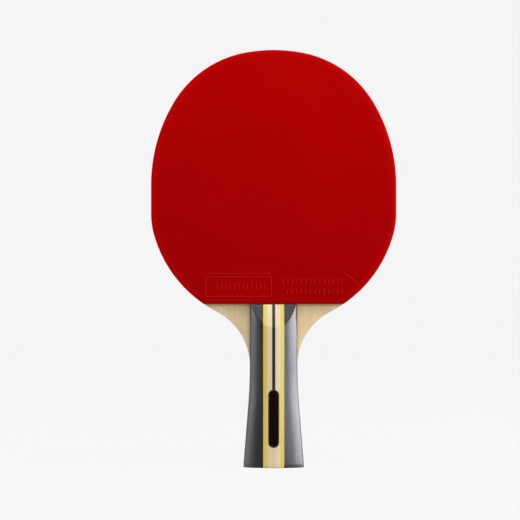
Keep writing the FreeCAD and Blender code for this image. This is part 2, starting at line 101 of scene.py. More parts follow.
def srgb(red: float, green: float, blue: float) -> tuple[float, float, float, float]:
    """Turn display values of 0 to 255 into a linear colour.

    Args:
        red: Red, 0 to 255.
        green: Green, 0 to 255.
        blue: Blue, 0 to 255.

    Returns:
        Linear red, green, blue and a full alpha.
    """
    parts = [value / 255 for value in (red, green, blue)]
    linear = [p / 12.92 if p <= 0.04045 else ((p + 0.055) / 1.055) ** 2.4 for p in parts]
    return (linear[0], linear[1], linear[2], 1.0)


class Wiring:
    """Adds nodes to one tree and links them."""

    def __init__(self, tree: bpy.types.NodeTree) -> None:
        """Keep the tree that the nodes go in."""
        self.tree = tree
        self.count = 0

    def add(self, kind: str, inputs: dict | None = None, **settings: object) -> bpy.types.Node:
        """Add a node.

        Args:
            kind: Blender's identifier of the node.
            inputs: A value or an output socket for each named or numbered input.
            settings: The node's own properties.

        Returns:
            The new node.
        """
        node = self.tree.nodes.new(kind)
        node.location = (200 * (self.count % 8), -260 * (self.count // 8))
        self.count += 1
        for name, value in settings.items():
            setattr(node, name, value)
        for key, value in (inputs or {}).items():
            socket = node.inputs[key]
            if isinstance(value, bpy.types.NodeSocket):
                self.tree.links.new(value, socket)
            else:
                socket.default_value = value
        return node

    def math(self, operation: str, *values: object) -> bpy.types.NodeSocket:
        """Add a Math node, of the shader or geometry kind, and return its result."""
        inputs = dict(enumerate(values))
        return self.add("ShaderNodeMath", inputs, operation=operation).outputs[0]

    def vector(self, operation: str, *values: object) -> bpy.types.NodeSocket:
        """Add a Vector Math node and return its vector."""
        inputs = dict(enumerate(values))
        return self.add("ShaderNodeVectorMath", inputs, operation=operation).outputs[0]

    def ramp(self, value: object, low: object, high: object, to_low: object = 0.0,
             to_high: object = 1.0) -> bpy.types.NodeSocket:
        """Map a value's range onto another, clamped at both ends.

        Args:
            value: What is mapped.
            low: Where the range starts.
            high: Where the range ends.
            to_low: What the start becomes.
            to_high: What the end becomes.

        Returns:
            The mapped value.
        """
        inputs = {0: value, 1: low, 2: high, 3: to_low, 4: to_high}
        return self.add("ShaderNodeMapRange", inputs).outputs[0]

    def blend(self, share: object, first: object, second: object) -> bpy.types.NodeSocket:
        """Mix two colours.

        Args:
            share: How much of the second colour shows, 0 to 1.
            first: A colour or a socket.
            second: A colour or a socket.

        Returns:
            The mixed colour.
        """
        node = self.add("ShaderNodeMix", data_type="RGBA")
        for key, value in ((0, share), (6, first), (7, second)):
            if isinstance(value, bpy.types.NodeSocket):
                self.tree.links.new(value, node.inputs[key])
            else:
                node.inputs[key].default_value = value
        return node.outputs[2]

    def noise(self, vector: bpy.types.NodeSocket, scale: object, detail: float,
              roughness: float = 0.5) -> bpy.types.NodeSocket:
        """Add a noise texture.

        Args:
            vector: Where it is read.
            scale: Features to each unit of the vector.
            detail: Octaves.
            roughness: How strong the fine octaves are.

        Returns:
            Its value, about 0.5 on average.
        """
        inputs = {"Vector": vector, "Scale": scale, "Detail": detail, "Roughness": roughness}
        return self.add("ShaderNodeTexNoise", inputs).outputs[0]

    def millimetres(self) -> bpy.types.NodeSocket:
        """Read Object coordinates in millimetres."""
        where = self.add("ShaderNodeTexCoord").outputs["Object"]
        return self.vector("MULTIPLY", where, (1 / MM, 1 / MM, 1 / MM))

    def group(self, tree: bpy.types.NodeTree, vector: bpy.types.NodeSocket,
              **values: object) -> bpy.types.Node:
        """Place a shared group.

        Args:
            tree: The group.
            vector: Its Vector input.
            values: Its other inputs, with an underscore for each space.

        Returns:
            The group's node.
        """
        node = self.add("ShaderNodeGroup", node_tree=tree)
        self.tree.links.new(vector, node.inputs["Vector"])
        for label, value in values.items():
            node.inputs[label.replace("_", " ")].default_value = value
        return node

    def seen(self) -> bpy.types.NodeSocket:
        """Tell the rays of the camera, of gloss and through glass from those that light.

        Returns:
            1 for a ray that shows the studio, or else 0.
        """
        path = self.add("ShaderNodeLightPath").outputs
        seen = self.math("MAXIMUM", path["Is Camera Ray"], path["Is Glossy Ray"])
        return self.math("MAXIMUM", seen, path["Is Transmission Ray"])

    def lit_share(self, way: bpy.types.NodeSocket) -> bpy.types.NodeSocket:
        """Give how much of the studio shows along a direction, all of it to the camera.

        Args:
            way: The direction from the paddle.

        Returns:
            The share, 0 to 1.
        """
        to_camera = self.add("ShaderNodeLightPath").outputs["Is Camera Ray"]
        return self.math("MAXIMUM", to_camera, self.group(DARK_SIDE, way).outputs["Share"])

    def bump(self, height: bpy.types.NodeSocket, depth: float) -> bpy.types.NodeSocket:
        """Turn a height of 0 to 1 into a normal.

        Args:
            height: The height.
            depth: What a height of 1 stands for, in millimetres.

        Returns:
            The normal.
        """
        inputs = {"Height": height, "Distance": depth * MM, "Strength": 1.0}
        return self.add("ShaderNodeBump", inputs).outputs[0]

    def dot(self, one: object, other: object) -> bpy.types.NodeSocket:
        """Add a dot product and return its value."""
        return self.add("ShaderNodeVectorMath", {0: one, 1: other},
                        operation="DOT_PRODUCT").outputs["Value"]

    def combine(self, x: object = 0.0, y: object = 0.0, z: object = 0.0) -> bpy.types.NodeSocket:
        """Put three values together into a vector."""
        return self.add("ShaderNodeCombineXYZ", {0: x, 1: y, 2: z}).outputs[0]

    def split(self, vector: bpy.types.NodeSocket) -> bpy.types.Node:
        """Add a node that takes a vector apart, into its outputs X, Y and Z."""
        return self.add("ShaderNodeSeparateXYZ", {0: vector})

    def spread(self, value: bpy.types.NodeSocket, low: float) -> bpy.types.NodeSocket:
        """Stretch the middle of a noise's range, from a limit to one less it, to 0 to 1."""
        return self.ramp(value, low, 1 - low)

    def give(self, made: bpy.types.Node, **results: bpy.types.NodeSocket) -> bpy.types.NodeTree:
        """Link results to the output node of a group.

        Args:
            made: The output node.
            results: What each of its inputs gets.

        Returns:
            The group.
        """
        for label, value in results.items():
            self.tree.links.new(value, made.inputs[label])
        return self.tree


def new_group(name: str, kind: str, inputs: dict[str, object],
              outputs: dict[str, str]) -> tuple[Wiring, bpy.types.Node, bpy.types.Node]:
    """Start a node group with named sockets.

    Args:
        name: The group's name.
        kind: ShaderNodeTree or GeometryNodeTree.
        inputs: For each input, its default value, or the socket type where it has none.
        outputs: For each output, its socket type.

    Returns:
        The wiring of the group, its input node and its output node.
    """
    tree = bpy.data.node_groups.new(name, kind)
    for label, value in inputs.items():
        if isinstance(value, str):
            tree.interface.new_socket(label, in_out="INPUT", socket_type=value)
            continue
        sort = "NodeSocketInt" if isinstance(value, int) else "NodeSocketFloat"
        socket = tree.interface.new_socket(label, in_out="INPUT", socket_type=sort)
        socket.default_value = value
    for label, sort in outputs.items():
        tree.interface.new_socket(label, in_out="OUTPUT", socket_type=sort)
    wiring = Wiring(tree)
    return wiring, wiring.add("NodeGroupInput"), wiring.add("NodeGroupOutput")


def grain_group() -> bpy.types.NodeTree:
    """Make the group of wood fibres, growth bands and pores, with the fibres along Z.

    Returns:
        The group, which works in millimetres.
    """
    wires, given, made = new_group(
        "wood_grain", "ShaderNodeTree",
        {"Vector": "NodeSocketVector", "Fibre Width": 0.35, "Fibre Length": 22.0,
         "Band Width": 5.0, "Band Length": 90.0, "Pore Width": 0.16, "Pore Length": 2.6,
         "Pore Share": 0.5, "Sway": 6.0, "Offset": 0.0},
        {"Streaks": "NodeSocketFloat", "Bands": "NodeSocketFloat", "Pores": "NodeSocketFloat"})
    out = given.outputs
    sway_scale, few_pores, many_pores, pore_edge = (0.02, 0.02, 0.012), 0.78, 0.52, 0.07
    where = wires.vector("ADD", out["Vector"], wires.combine(out["Offset"], out["Offset"]))
    drift = wires.noise(wires.vector("MULTIPLY", where, sway_scale), 1.0, detail=2.0)
    sway = wires.ramp(drift, 0.0, 1.0, wires.math("MULTIPLY", out["Sway"], -1.0), out["Sway"])
    bent = wires.vector("ADD", where, wires.combine(sway))

    def stretched(size: str) -> bpy.types.NodeSocket:
        """Scale the place so that one unit is a feature's width across and its length along.

        Args:
            size: The first word of the two inputs that give the size.

        Returns:
            The scaled place.
        """
        thin = wires.math("DIVIDE", 1.0, out[size + " Width"])
        long = wires.math("DIVIDE", 1.0, out[size + " Length"])
        return wires.vector("MULTIPLY", bent, wires.combine(thin, thin, long))

    fibres = wires.noise(stretched("Fibre"), 1.0, detail=4.0, roughness=0.6)
    growth = wires.noise(stretched("Band"), 1.0, detail=2.0)
    specks = wires.noise(stretched("Pore"), 1.0, detail=1.0)
    limit = wires.ramp(out["Pore Share"], 0.0, 1.0, few_pores, many_pores)
    pores = wires.ramp(wires.math("SUBTRACT", specks, limit), 0.0, pore_edge)
    return wires.give(made, Streaks=wires.spread(fibres, low=0.3),
                      Bands=wires.spread(growth, low=0.34), Pores=pores)


def grit_group() -> bpy.types.NodeTree:
    """Make the group of fine unevenness and large soft patches that every finish has.

    Returns:
        The group, which works in millimetres.
    """
    wires, given, made = new_group(
        "fine_grit", "ShaderNodeTree",
        {"Vector": "NodeSocketVector", "Grit Size": 0.3, "Patch Size": 30.0},
        {"Grit": "NodeSocketFloat", "Patches": "NodeSocketFloat"})
    out = given.outputs
    grit = wires.noise(out["Vector"], wires.math("DIVIDE", 1.0, out["Grit Size"]), detail=3.0)
    wide = wires.noise(out["Vector"], wires.math("DIVIDE", 1.0, out["Patch Size"]), detail=3.0,
                       roughness=0.55)
    return wires.give(made, Grit=grit, Patches=wires.spread(wide, low=0.3))


def edge_group() -> bpy.types.NodeTree:
    """Make the group that masks what lies near an edge, from the mesh's own edge distance.

    Returns:
        The group, which works in millimetres.
    """
    wires, given, made = new_group(
        "near_edge", "ShaderNodeTree",
        {"Vector": "NodeSocketVector", "Reach": 0.8, "Softness": 0.4, "Wander": 0.1,
         "Wander Scale": 0.4},
        {"Mask": "NodeSocketFloat"})
    out = given.outputs
    inward = wires.add("ShaderNodeAttribute", attribute_name="inward").outputs["Fac"]
    stray = wires.noise(out["Vector"], out["Wander Scale"], detail=2.0)
    stray = wires.math("MULTIPLY", wires.math("SUBTRACT", stray, 0.5), out["Wander"])
    far = wires.math("ADD", inward, stray)
    end = wires.math("ADD", out["Reach"], out["Softness"])
    return wires.give(made, Mask=wires.ramp(far, out["Reach"], end, 1.0, 0.0))


def dark_side_group() -> bpy.types.NodeTree:
    """Make the group that dims the studio in gloss before and behind the paddle.

    Returns:
        The group, which takes the direction from the paddle as its vector.
    """
    wires, given, made = new_group(
        "dark_side", "ShaderNodeTree",
        {"Vector": "NodeSocketVector", "Start": 0.1, "End": 0.86, "Level": 0.04},
        {"Share": "NodeSocketFloat"})
    out = given.outputs
    facing = wires.math("ABSOLUTE", wires.dot(wires.vector("NORMALIZE", out["Vector"]), DARK_WAY))
    return wires.give(made, Share=wires.ramp(facing, out["Start"], out["End"], 1.0, out["Level"]))


GRAIN = grain_group()
GRIT = grit_group()
EDGE = edge_group()
DARK_SIDE = dark_side_group()


# ---------------------------------------------------------------- finishes


@dataclass(frozen=True)
class Finish:
    """A material; the classes below say what its surface is like."""

    name: str

    def material(self) -> bpy.types.Material:
        """Make the material, or find it if it is there already.

        Returns:
            The material.
        """
        made = bpy.data.materials.get(self.name)
        if made is None:
            made = bpy.data.materials.new(self.name)
            made.use_nodes = True
            made.node_tree.nodes.clear()
            wires = Wiring(made.node_tree)
            output = wires.add("ShaderNodeOutputMaterial")
            made.node_tree.links.new(self.surface(wires), output.inputs["Surface"])
        return made

    def surface(self, wires: Wiring) -> bpy.types.NodeSocket:
        """Wire the shader and return it."""
        raise NotImplementedError


@dataclass(frozen=True)
class Wood(Finish):
    """Bare or lacquered wood: fibres, growth bands and pores."""

    tone: Tone
    dark: Tone
    pore: Tone
    grain: Grain = Grain.ALONG
    fibre_width: float = 0.35
    fibre_length: float = 22.0
    band_width: float = 5.0
    band_share: float = 0.4
    pore_share: float = 0.5
    pore_depth: float = 0.75
    offset: float = 0.0
    roughness: float = 0.6
    smoother: float = 0.05
    rougher: float = 0.07
    coat: float = 0.0
    coat_on_dark: float = 0.76
    coat_roughness: float = 0.2
    coat_ior: float = 1.5
    relief: float = 0.02
    coat_relief: float = 0.7
    streak_relief: float = 0.5
    pore_relief: float = 0.5
    grit_relief: float = 0.3
    specular: float = 0.35
    # Painted shade on the cut edges: how strongly they are coloured darker.
    painted_edge_shade: float = 0.0
    # Painted shadow below the rubber's lower edge: its strength, then its reach in millimetres.
    seam: float = 0.0
    seam_reach: float = 2.2

    def surface(self, wires: Wiring) -> bpy.types.NodeSocket:
        """Wire the shader.

        Args:
            wires: The material's wiring.

        Returns:
            The shader.
        """
        where = wires.add("ShaderNodeVectorRotate", {
            "Vector": wires.millimetres(), "Angle": self.grain.value},
            rotation_type="Y_AXIS").outputs[0]
        grain = wires.group(
            GRAIN, where, Fibre_Width=self.fibre_width, Fibre_Length=self.fibre_length,
            Band_Width=self.band_width, Pore_Share=self.pore_share, Offset=self.offset)
        grit = wires.group(GRIT, where, Grit_Size=0.25, Patch_Size=24.0)
        streaks, bands, pores = (grain.outputs[n] for n in ("Streaks", "Bands", "Pores"))
        mixed = wires.math("ADD", wires.math("MULTIPLY", streaks, 1 - self.band_share),
                           wires.math("MULTIPLY", bands, self.band_share))
        colour = wires.blend(mixed, srgb(*self.dark), srgb(*self.tone))
        pores_and_painted_shade = [wires.math("MULTIPLY", pores, self.pore_depth)]
        # Painted shade: the cut edges, which the side lamps light strongly, are coloured darker.
        if self.painted_edge_shade:
            edge = wires.group(EDGE, where, Reach=0.12, Softness=0.16, Wander=0.1)
            pores_and_painted_shade.append(wires.math("MULTIPLY", edge.outputs["Mask"], self.painted_edge_shade))
        # Painted shadow: the veneer is coloured darker in a band just below the rubber's lower
        # edge, where the rubber shades it.
        if self.seam:
            below = wires.ramp(wires.split(where).outputs["Z"], RUBBER_FOOT - self.seam_reach,
                               RUBBER_FOOT)
            pores_and_painted_shade.append(wires.math("MULTIPLY", below, self.seam))
        # Each mask darkens the colour towards the pore colour: the pores themselves, then the
        # painted edge shade and the painted shadow where they are set.
        for dark_mask in pores_and_painted_shade:
            colour = wires.blend(dark_mask, colour, srgb(*self.pore))
        rough = wires.ramp(grit.outputs["Patches"], 0.0, 1.0, self.roughness - self.smoother,
                           self.roughness + self.rougher)
        raised = wires.math("SUBTRACT", wires.math("MULTIPLY", streaks, self.streak_relief),
                            wires.math("MULTIPLY", pores, self.pore_relief))
        height = wires.math("ADD", raised, wires.math("MULTIPLY", grit.outputs["Grit"],
                                                      self.grit_relief))
        inputs = {"Base Color": colour, "Roughness": rough,
                  "Normal": wires.bump(height, self.relief), "Specular IOR Level": self.specular}
        if self.coat:
            inputs |= {"Coat Weight": wires.ramp(streaks, 0.0, 1.0, self.coat * self.coat_on_dark,
                                                 self.coat),
                       "Coat Roughness": self.coat_roughness, "Coat IOR": self.coat_ior,
                       "Coat Normal": wires.bump(height, self.relief * self.coat_relief)}
        return wires.add("ShaderNodeBsdfPrincipled", inputs).outputs[0]


@dataclass(frozen=True)
class Rubber(Finish):
    """Smooth rubber skin, with painted shade towards its lower edge and a painted highlight that
    colours its cut rim brighter.
    """

    face: Tone
    # The colour of the painted shade towards the lower edge, which the random patches also blend
    # towards.
    painted_shade_and_patch: Tone
    # The colour of the painted highlight along the cut rim.
    rim: Tone
    # The height above the lower edge over which the painted shade fades out.
    painted_shade_height: float = 155.0
    patch_share: float = 0.3
    # The height above the lower edge over which the painted rim highlight fades in.
    rim_highlight_fade: float = 7.0
    pitch: float = 2.2
    pip_share: float = 0.5
    dust_scale: float = 3.2
    dust_limits: tuple[float, float] = (0.7, 0.8)
    scuff: float = 0.1
    specular: float = 0.015
    roughness: float = 0.6
    uneven: float = 0.05
    relief: float = 0.012

    def surface(self, wires: Wiring) -> bpy.types.NodeSocket:
        """Wire the shader.

        Args:
            wires: The material's wiring.

        Returns:
            The shader.
        """
        where = wires.millimetres()
        grit = wires.group(GRIT, where, Grit_Size=0.22, Patch_Size=42.0)
        edge = wires.group(EDGE, where, Reach=0.4, Softness=3.8, Wander=0.4)
        patches = grit.outputs["Patches"]
        up = wires.split(where).outputs["Z"]
        # Painted shade: the sheet is coloured darker towards its lower edge, where less light
        # falls, mixed with random patches.
        low = wires.ramp(up, RUBBER_FOOT, RUBBER_FOOT + self.painted_shade_height, 1.0, 0.0)
        tone = wires.math("ADD", wires.math("MULTIPLY", patches, self.patch_share),
                          wires.math("MULTIPLY", low, 1 - self.patch_share))
        colour = wires.blend(tone, srgb(*self.face), srgb(*self.painted_shade_and_patch))
        # Painted highlight: the cut rim is coloured brighter, fading out along the lower edge,
        # whose rim faces down.
        painted_rim_highlight = wires.math("MULTIPLY", edge.outputs["Mask"],
                             wires.ramp(up, RUBBER_FOOT, RUBBER_FOOT + self.rim_highlight_fade))
        colour = wires.blend(painted_rim_highlight, colour, srgb(*self.rim))
        dust = wires.noise(where, self.dust_scale, detail=2.0)
        rough = wires.math("ADD", wires.ramp(patches, 0.0, 1.0, self.roughness - self.uneven,
                                             self.roughness + self.uneven),
                           wires.ramp(dust, *self.dust_limits, 0.0, self.scuff))
        height = wires.math(
            "ADD", wires.math("MULTIPLY", grit.outputs["Grit"], 1 - self.pip_share),
            wires.math("MULTIPLY", self.pip_print(wires, where), self.pip_share))
        return wires.add("ShaderNodeBsdfPrincipled", {
            "Base Color": colour, "Roughness": rough, "Normal": wires.bump(height, self.relief),
            "Specular IOR Level": self.specular}).outputs[0]

    def pip_print(self, wires: Wiring, where: bpy.types.NodeSocket) -> bpy.types.NodeSocket:
        """Wire the faint print that the pimples below leave in the skin.

        Args:
            wires: The material's wiring.
            where: The place in millimetres.

        Returns:
            A height of 0 to 1 that peaks over each pimple.
        """
        turn = 4 * math.pi / (math.sqrt(3) * self.pitch)
        waves = []
        for angle in (90, 30, 150):
            way = (math.cos(math.radians(angle)) * turn, 0.0, math.sin(math.radians(angle)) * turn)
            waves.append(wires.math("COSINE", wires.dot(where, way)))
        total = wires.math("ADD", wires.math("ADD", waves[0], waves[1]), waves[2])
        # Three such waves add up to no less than -1.5 and no more than 3.
        return wires.ramp(total, -1.5, 3.0)


@dataclass(frozen=True)
class Foam(Finish):
    """Sponge with open pores where it was cut."""

    tone: Tone
    pore: Tone
    cell: float = 0.34
    pore_core: float = 0.12
    pore_edge: float = 0.42
    patch_share: float = 0.25
    roughness: float = 0.82
    pore_roughness: float = 0.95
    relief: float = 0.05
    specular: float = 0.2

    def surface(self, wires: Wiring) -> bpy.types.NodeSocket:
        """Wire the shader.

        Args:
            wires: The material's wiring.

        Returns:
            The shader.
        """
        where = wires.millimetres()
        cells = wires.add("ShaderNodeTexVoronoi", {
            "Vector": where, "Scale": 1 / self.cell, "Randomness": 1.0}).outputs["Distance"]
        grit = wires.group(GRIT, where, Grit_Size=0.5, Patch_Size=12.0)
        holes = wires.ramp(cells, self.pore_core, self.pore_edge, 1.0, 0.0)
        patches = wires.math("MULTIPLY", grit.outputs["Patches"], self.patch_share)
        colour = wires.blend(holes, srgb(*self.tone), srgb(*self.pore))
        rough = wires.ramp(holes, 0.0, 1.0, self.roughness, self.pore_roughness)
        height = wires.math("SUBTRACT", grit.outputs["Grit"], holes)
        return wires.add("ShaderNodeBsdfPrincipled", {
            "Base Color": wires.blend(patches, colour, srgb(*self.pore)), "Roughness": rough,
            "Normal": wires.bump(height, self.relief),
            "Specular IOR Level": self.specular}).outputs[0]


@dataclass(frozen=True)
class Plate(Finish):
    """Enamelled plate with a bare metal border."""

    enamel: Tone
    border: Tone
    border_reach: float = 0.5
    patch_share: float = 0.3
    roughness: float = 0.2
    border_roughness: float = 0.36
    uneven: float = 0.06
    metal: float = 0.75
    relief: float = 0.004
    specular: float = 0.12

    def surface(self, wires: Wiring) -> bpy.types.NodeSocket:
        """Wire the shader.

        Args:
            wires: The material's wiring.

        Returns:
            The shader.
        """
        where = wires.millimetres()
        grit = wires.group(GRIT, where, Grit_Size=0.12, Patch_Size=5.0)
        mask = wires.group(EDGE, where, Reach=self.border_reach, Softness=0.06,
                           Wander=0.02).outputs["Mask"]
        patches = grit.outputs["Patches"]
        brushed = wires.blend(wires.math("MULTIPLY", patches, self.patch_share),
                              srgb(*self.border), srgb(*self.enamel))
        rough = wires.math(
            "ADD", wires.ramp(mask, 0.0, 1.0, self.roughness, self.border_roughness),
            wires.math("MULTIPLY", patches, self.uneven))
        return wires.add("ShaderNodeBsdfPrincipled", {
            "Base Color": wires.blend(mask, srgb(*self.enamel), brushed), "Roughness": rough,
            "Metallic": wires.math("MULTIPLY", mask, self.metal),
            "Normal": wires.bump(grit.outputs["Grit"], self.relief),
            "Specular IOR Level": self.specular}).outputs[0]


@dataclass(frozen=True)
class Paper(Finish):
    """Pale studio sweep: it takes shadows, and shows as pale to the camera and in gloss."""

    tone: Tone
    glow: float
    shadow: float

    def surface(self, wires: Wiring) -> bpy.types.NodeSocket:
        """Wire the shader.

        Args:
            wires: The material's wiring.

        Returns:
            The shader.
        """
        seen = wires.seen()
        shadow = (self.shadow, self.shadow, self.shadow, 1.0)
        colour = wires.blend(seen, srgb(*self.tone), shadow)
        matte = wires.add("ShaderNodeBsdfDiffuse", {"Color": colour}).outputs[0]
        glow = wires.math("MULTIPLY", wires.lit_share(wires.millimetres()), self.glow)
        light = wires.add("ShaderNodeEmission", {
            "Color": WHITE, "Strength": wires.math("MULTIPLY", seen, glow)}).outputs[0]
        return wires.add("ShaderNodeAddShader", {0: matte, 1: light}).outputs[0]


# The face veneer's edge value darkens its cut edges and its last value darkens it below the
# rubber's lower edge: painted shade and painted shadow.
FACE_VENEER = Wood("bare face veneer", (247, 226, 182), (229, 203, 154), (182, 146, 96),
                   fibre_width=0.4, fibre_length=30.0, band_width=6.0, band_share=0.5,
                   pore_share=0.35, roughness=0.62, relief=0.02, painted_edge_shade=0.4, seam=0.8)
CROSS_VENEER = Wood("cross veneer", (164, 126, 84), (134, 98, 62), (96, 66, 40),
                    grain=Grain.ACROSS, fibre_width=0.3, fibre_length=14.0, pore_share=0.8,
                    roughness=0.72, relief=0.04, painted_edge_shade=0.2)
CORE_WOOD = Wood("core wood", (210, 186, 144), (188, 160, 116), (150, 116, 76),
                 fibre_width=0.5, fibre_length=26.0, band_width=3.2, pore_share=0.6,
                 roughness=0.68, relief=0.03, painted_edge_shade=0.25)
CHARCOAL = Wood("charcoal stick", (52, 53, 61), (24, 25, 32), (13, 13, 17),
                fibre_width=0.5, fibre_length=34.0, band_width=3.0, pore_share=0.45,
                roughness=0.5, coat=1.0, coat_roughness=0.24, coat_ior=1.95, relief=0.03,
                specular=0.1)
YELLOW = Wood("yellow stick", (238, 217, 90), (222, 198, 66), (186, 154, 42),
              fibre_width=0.4, fibre_length=30.0, band_width=1.6, pore_share=0.2,
              roughness=0.5, coat=0.8, coat_roughness=0.24, coat_ior=1.9, relief=0.01,
              specular=0.1)
PALE = Wood("pale stick", (244, 228, 191), (226, 205, 160), (192, 162, 116),
            fibre_width=0.35, fibre_length=28.0, band_width=2.4, pore_share=0.3,
            roughness=0.5, coat=0.8, coat_roughness=0.24, coat_ior=1.9, relief=0.012,
            offset=40.0, specular=0.1)
INLAY = Wood("dark inlay", (44, 48, 58), (28, 32, 44), (14, 16, 24),
             fibre_width=0.3, fibre_length=24.0, band_width=1.2, pore_share=0.2,
             roughness=0.5, coat=0.8, coat_roughness=0.24, coat_ior=1.9, relief=0.008,
             offset=80.0, specular=0.1)
# The last two colours of each rubber are its painted shade towards the lower edge, mixed with
# random patches, and its painted highlight along the cut rim.
RED_SKIN = Rubber("red rubber", (178, 1, 2), (157, 0, 1), (188, 2, 3))
BLACK_SKIN = Rubber("black rubber", (35, 34, 36), (30, 29, 31), (42, 40, 42))
RED_MOULDING = Rubber("red moulding", (188, 21, 18), (182, 18, 15), (188, 21, 18))
BLACK_MOULDING = Rubber("black moulding", (46, 45, 48), (42, 41, 44), (46, 45, 48))
APRICOT_FOAM = Foam("apricot sponge", (206, 146, 84), (160, 100, 50))
BADGE = Plate("badge enamel", (22, 11, 6), (120, 84, 56))
SWEEP = Paper("pale sweep", (170, 170, 170), 0.893, 0.038)
COOL = (0.975, 0.97, 1.03)


# ---------------------------------------------------------------- plan


@dataclass(frozen=True)
class Arc:
    """A stretch of the paddle's outline, in the X and Z of its plan."""

    centre: Point
    radius: float
    start: float
    end: float

    def points(self, step: float) -> Loop:
        """Walk the arc, without its first point.

        Args:
            step: The longest step, in millimetres.

        Returns:
            The points after the first, the last included.
        """
        count = max(2, math.ceil(abs(self.end - self.start) * self.radius / step))
        turns = [self.start + (self.end - self.start) * i / count for i in range(1, count + 1)]
        return [(self.centre[0] + self.radius * math.cos(t),
                 self.centre[1] + self.radius * math.sin(t)) for t in turns]


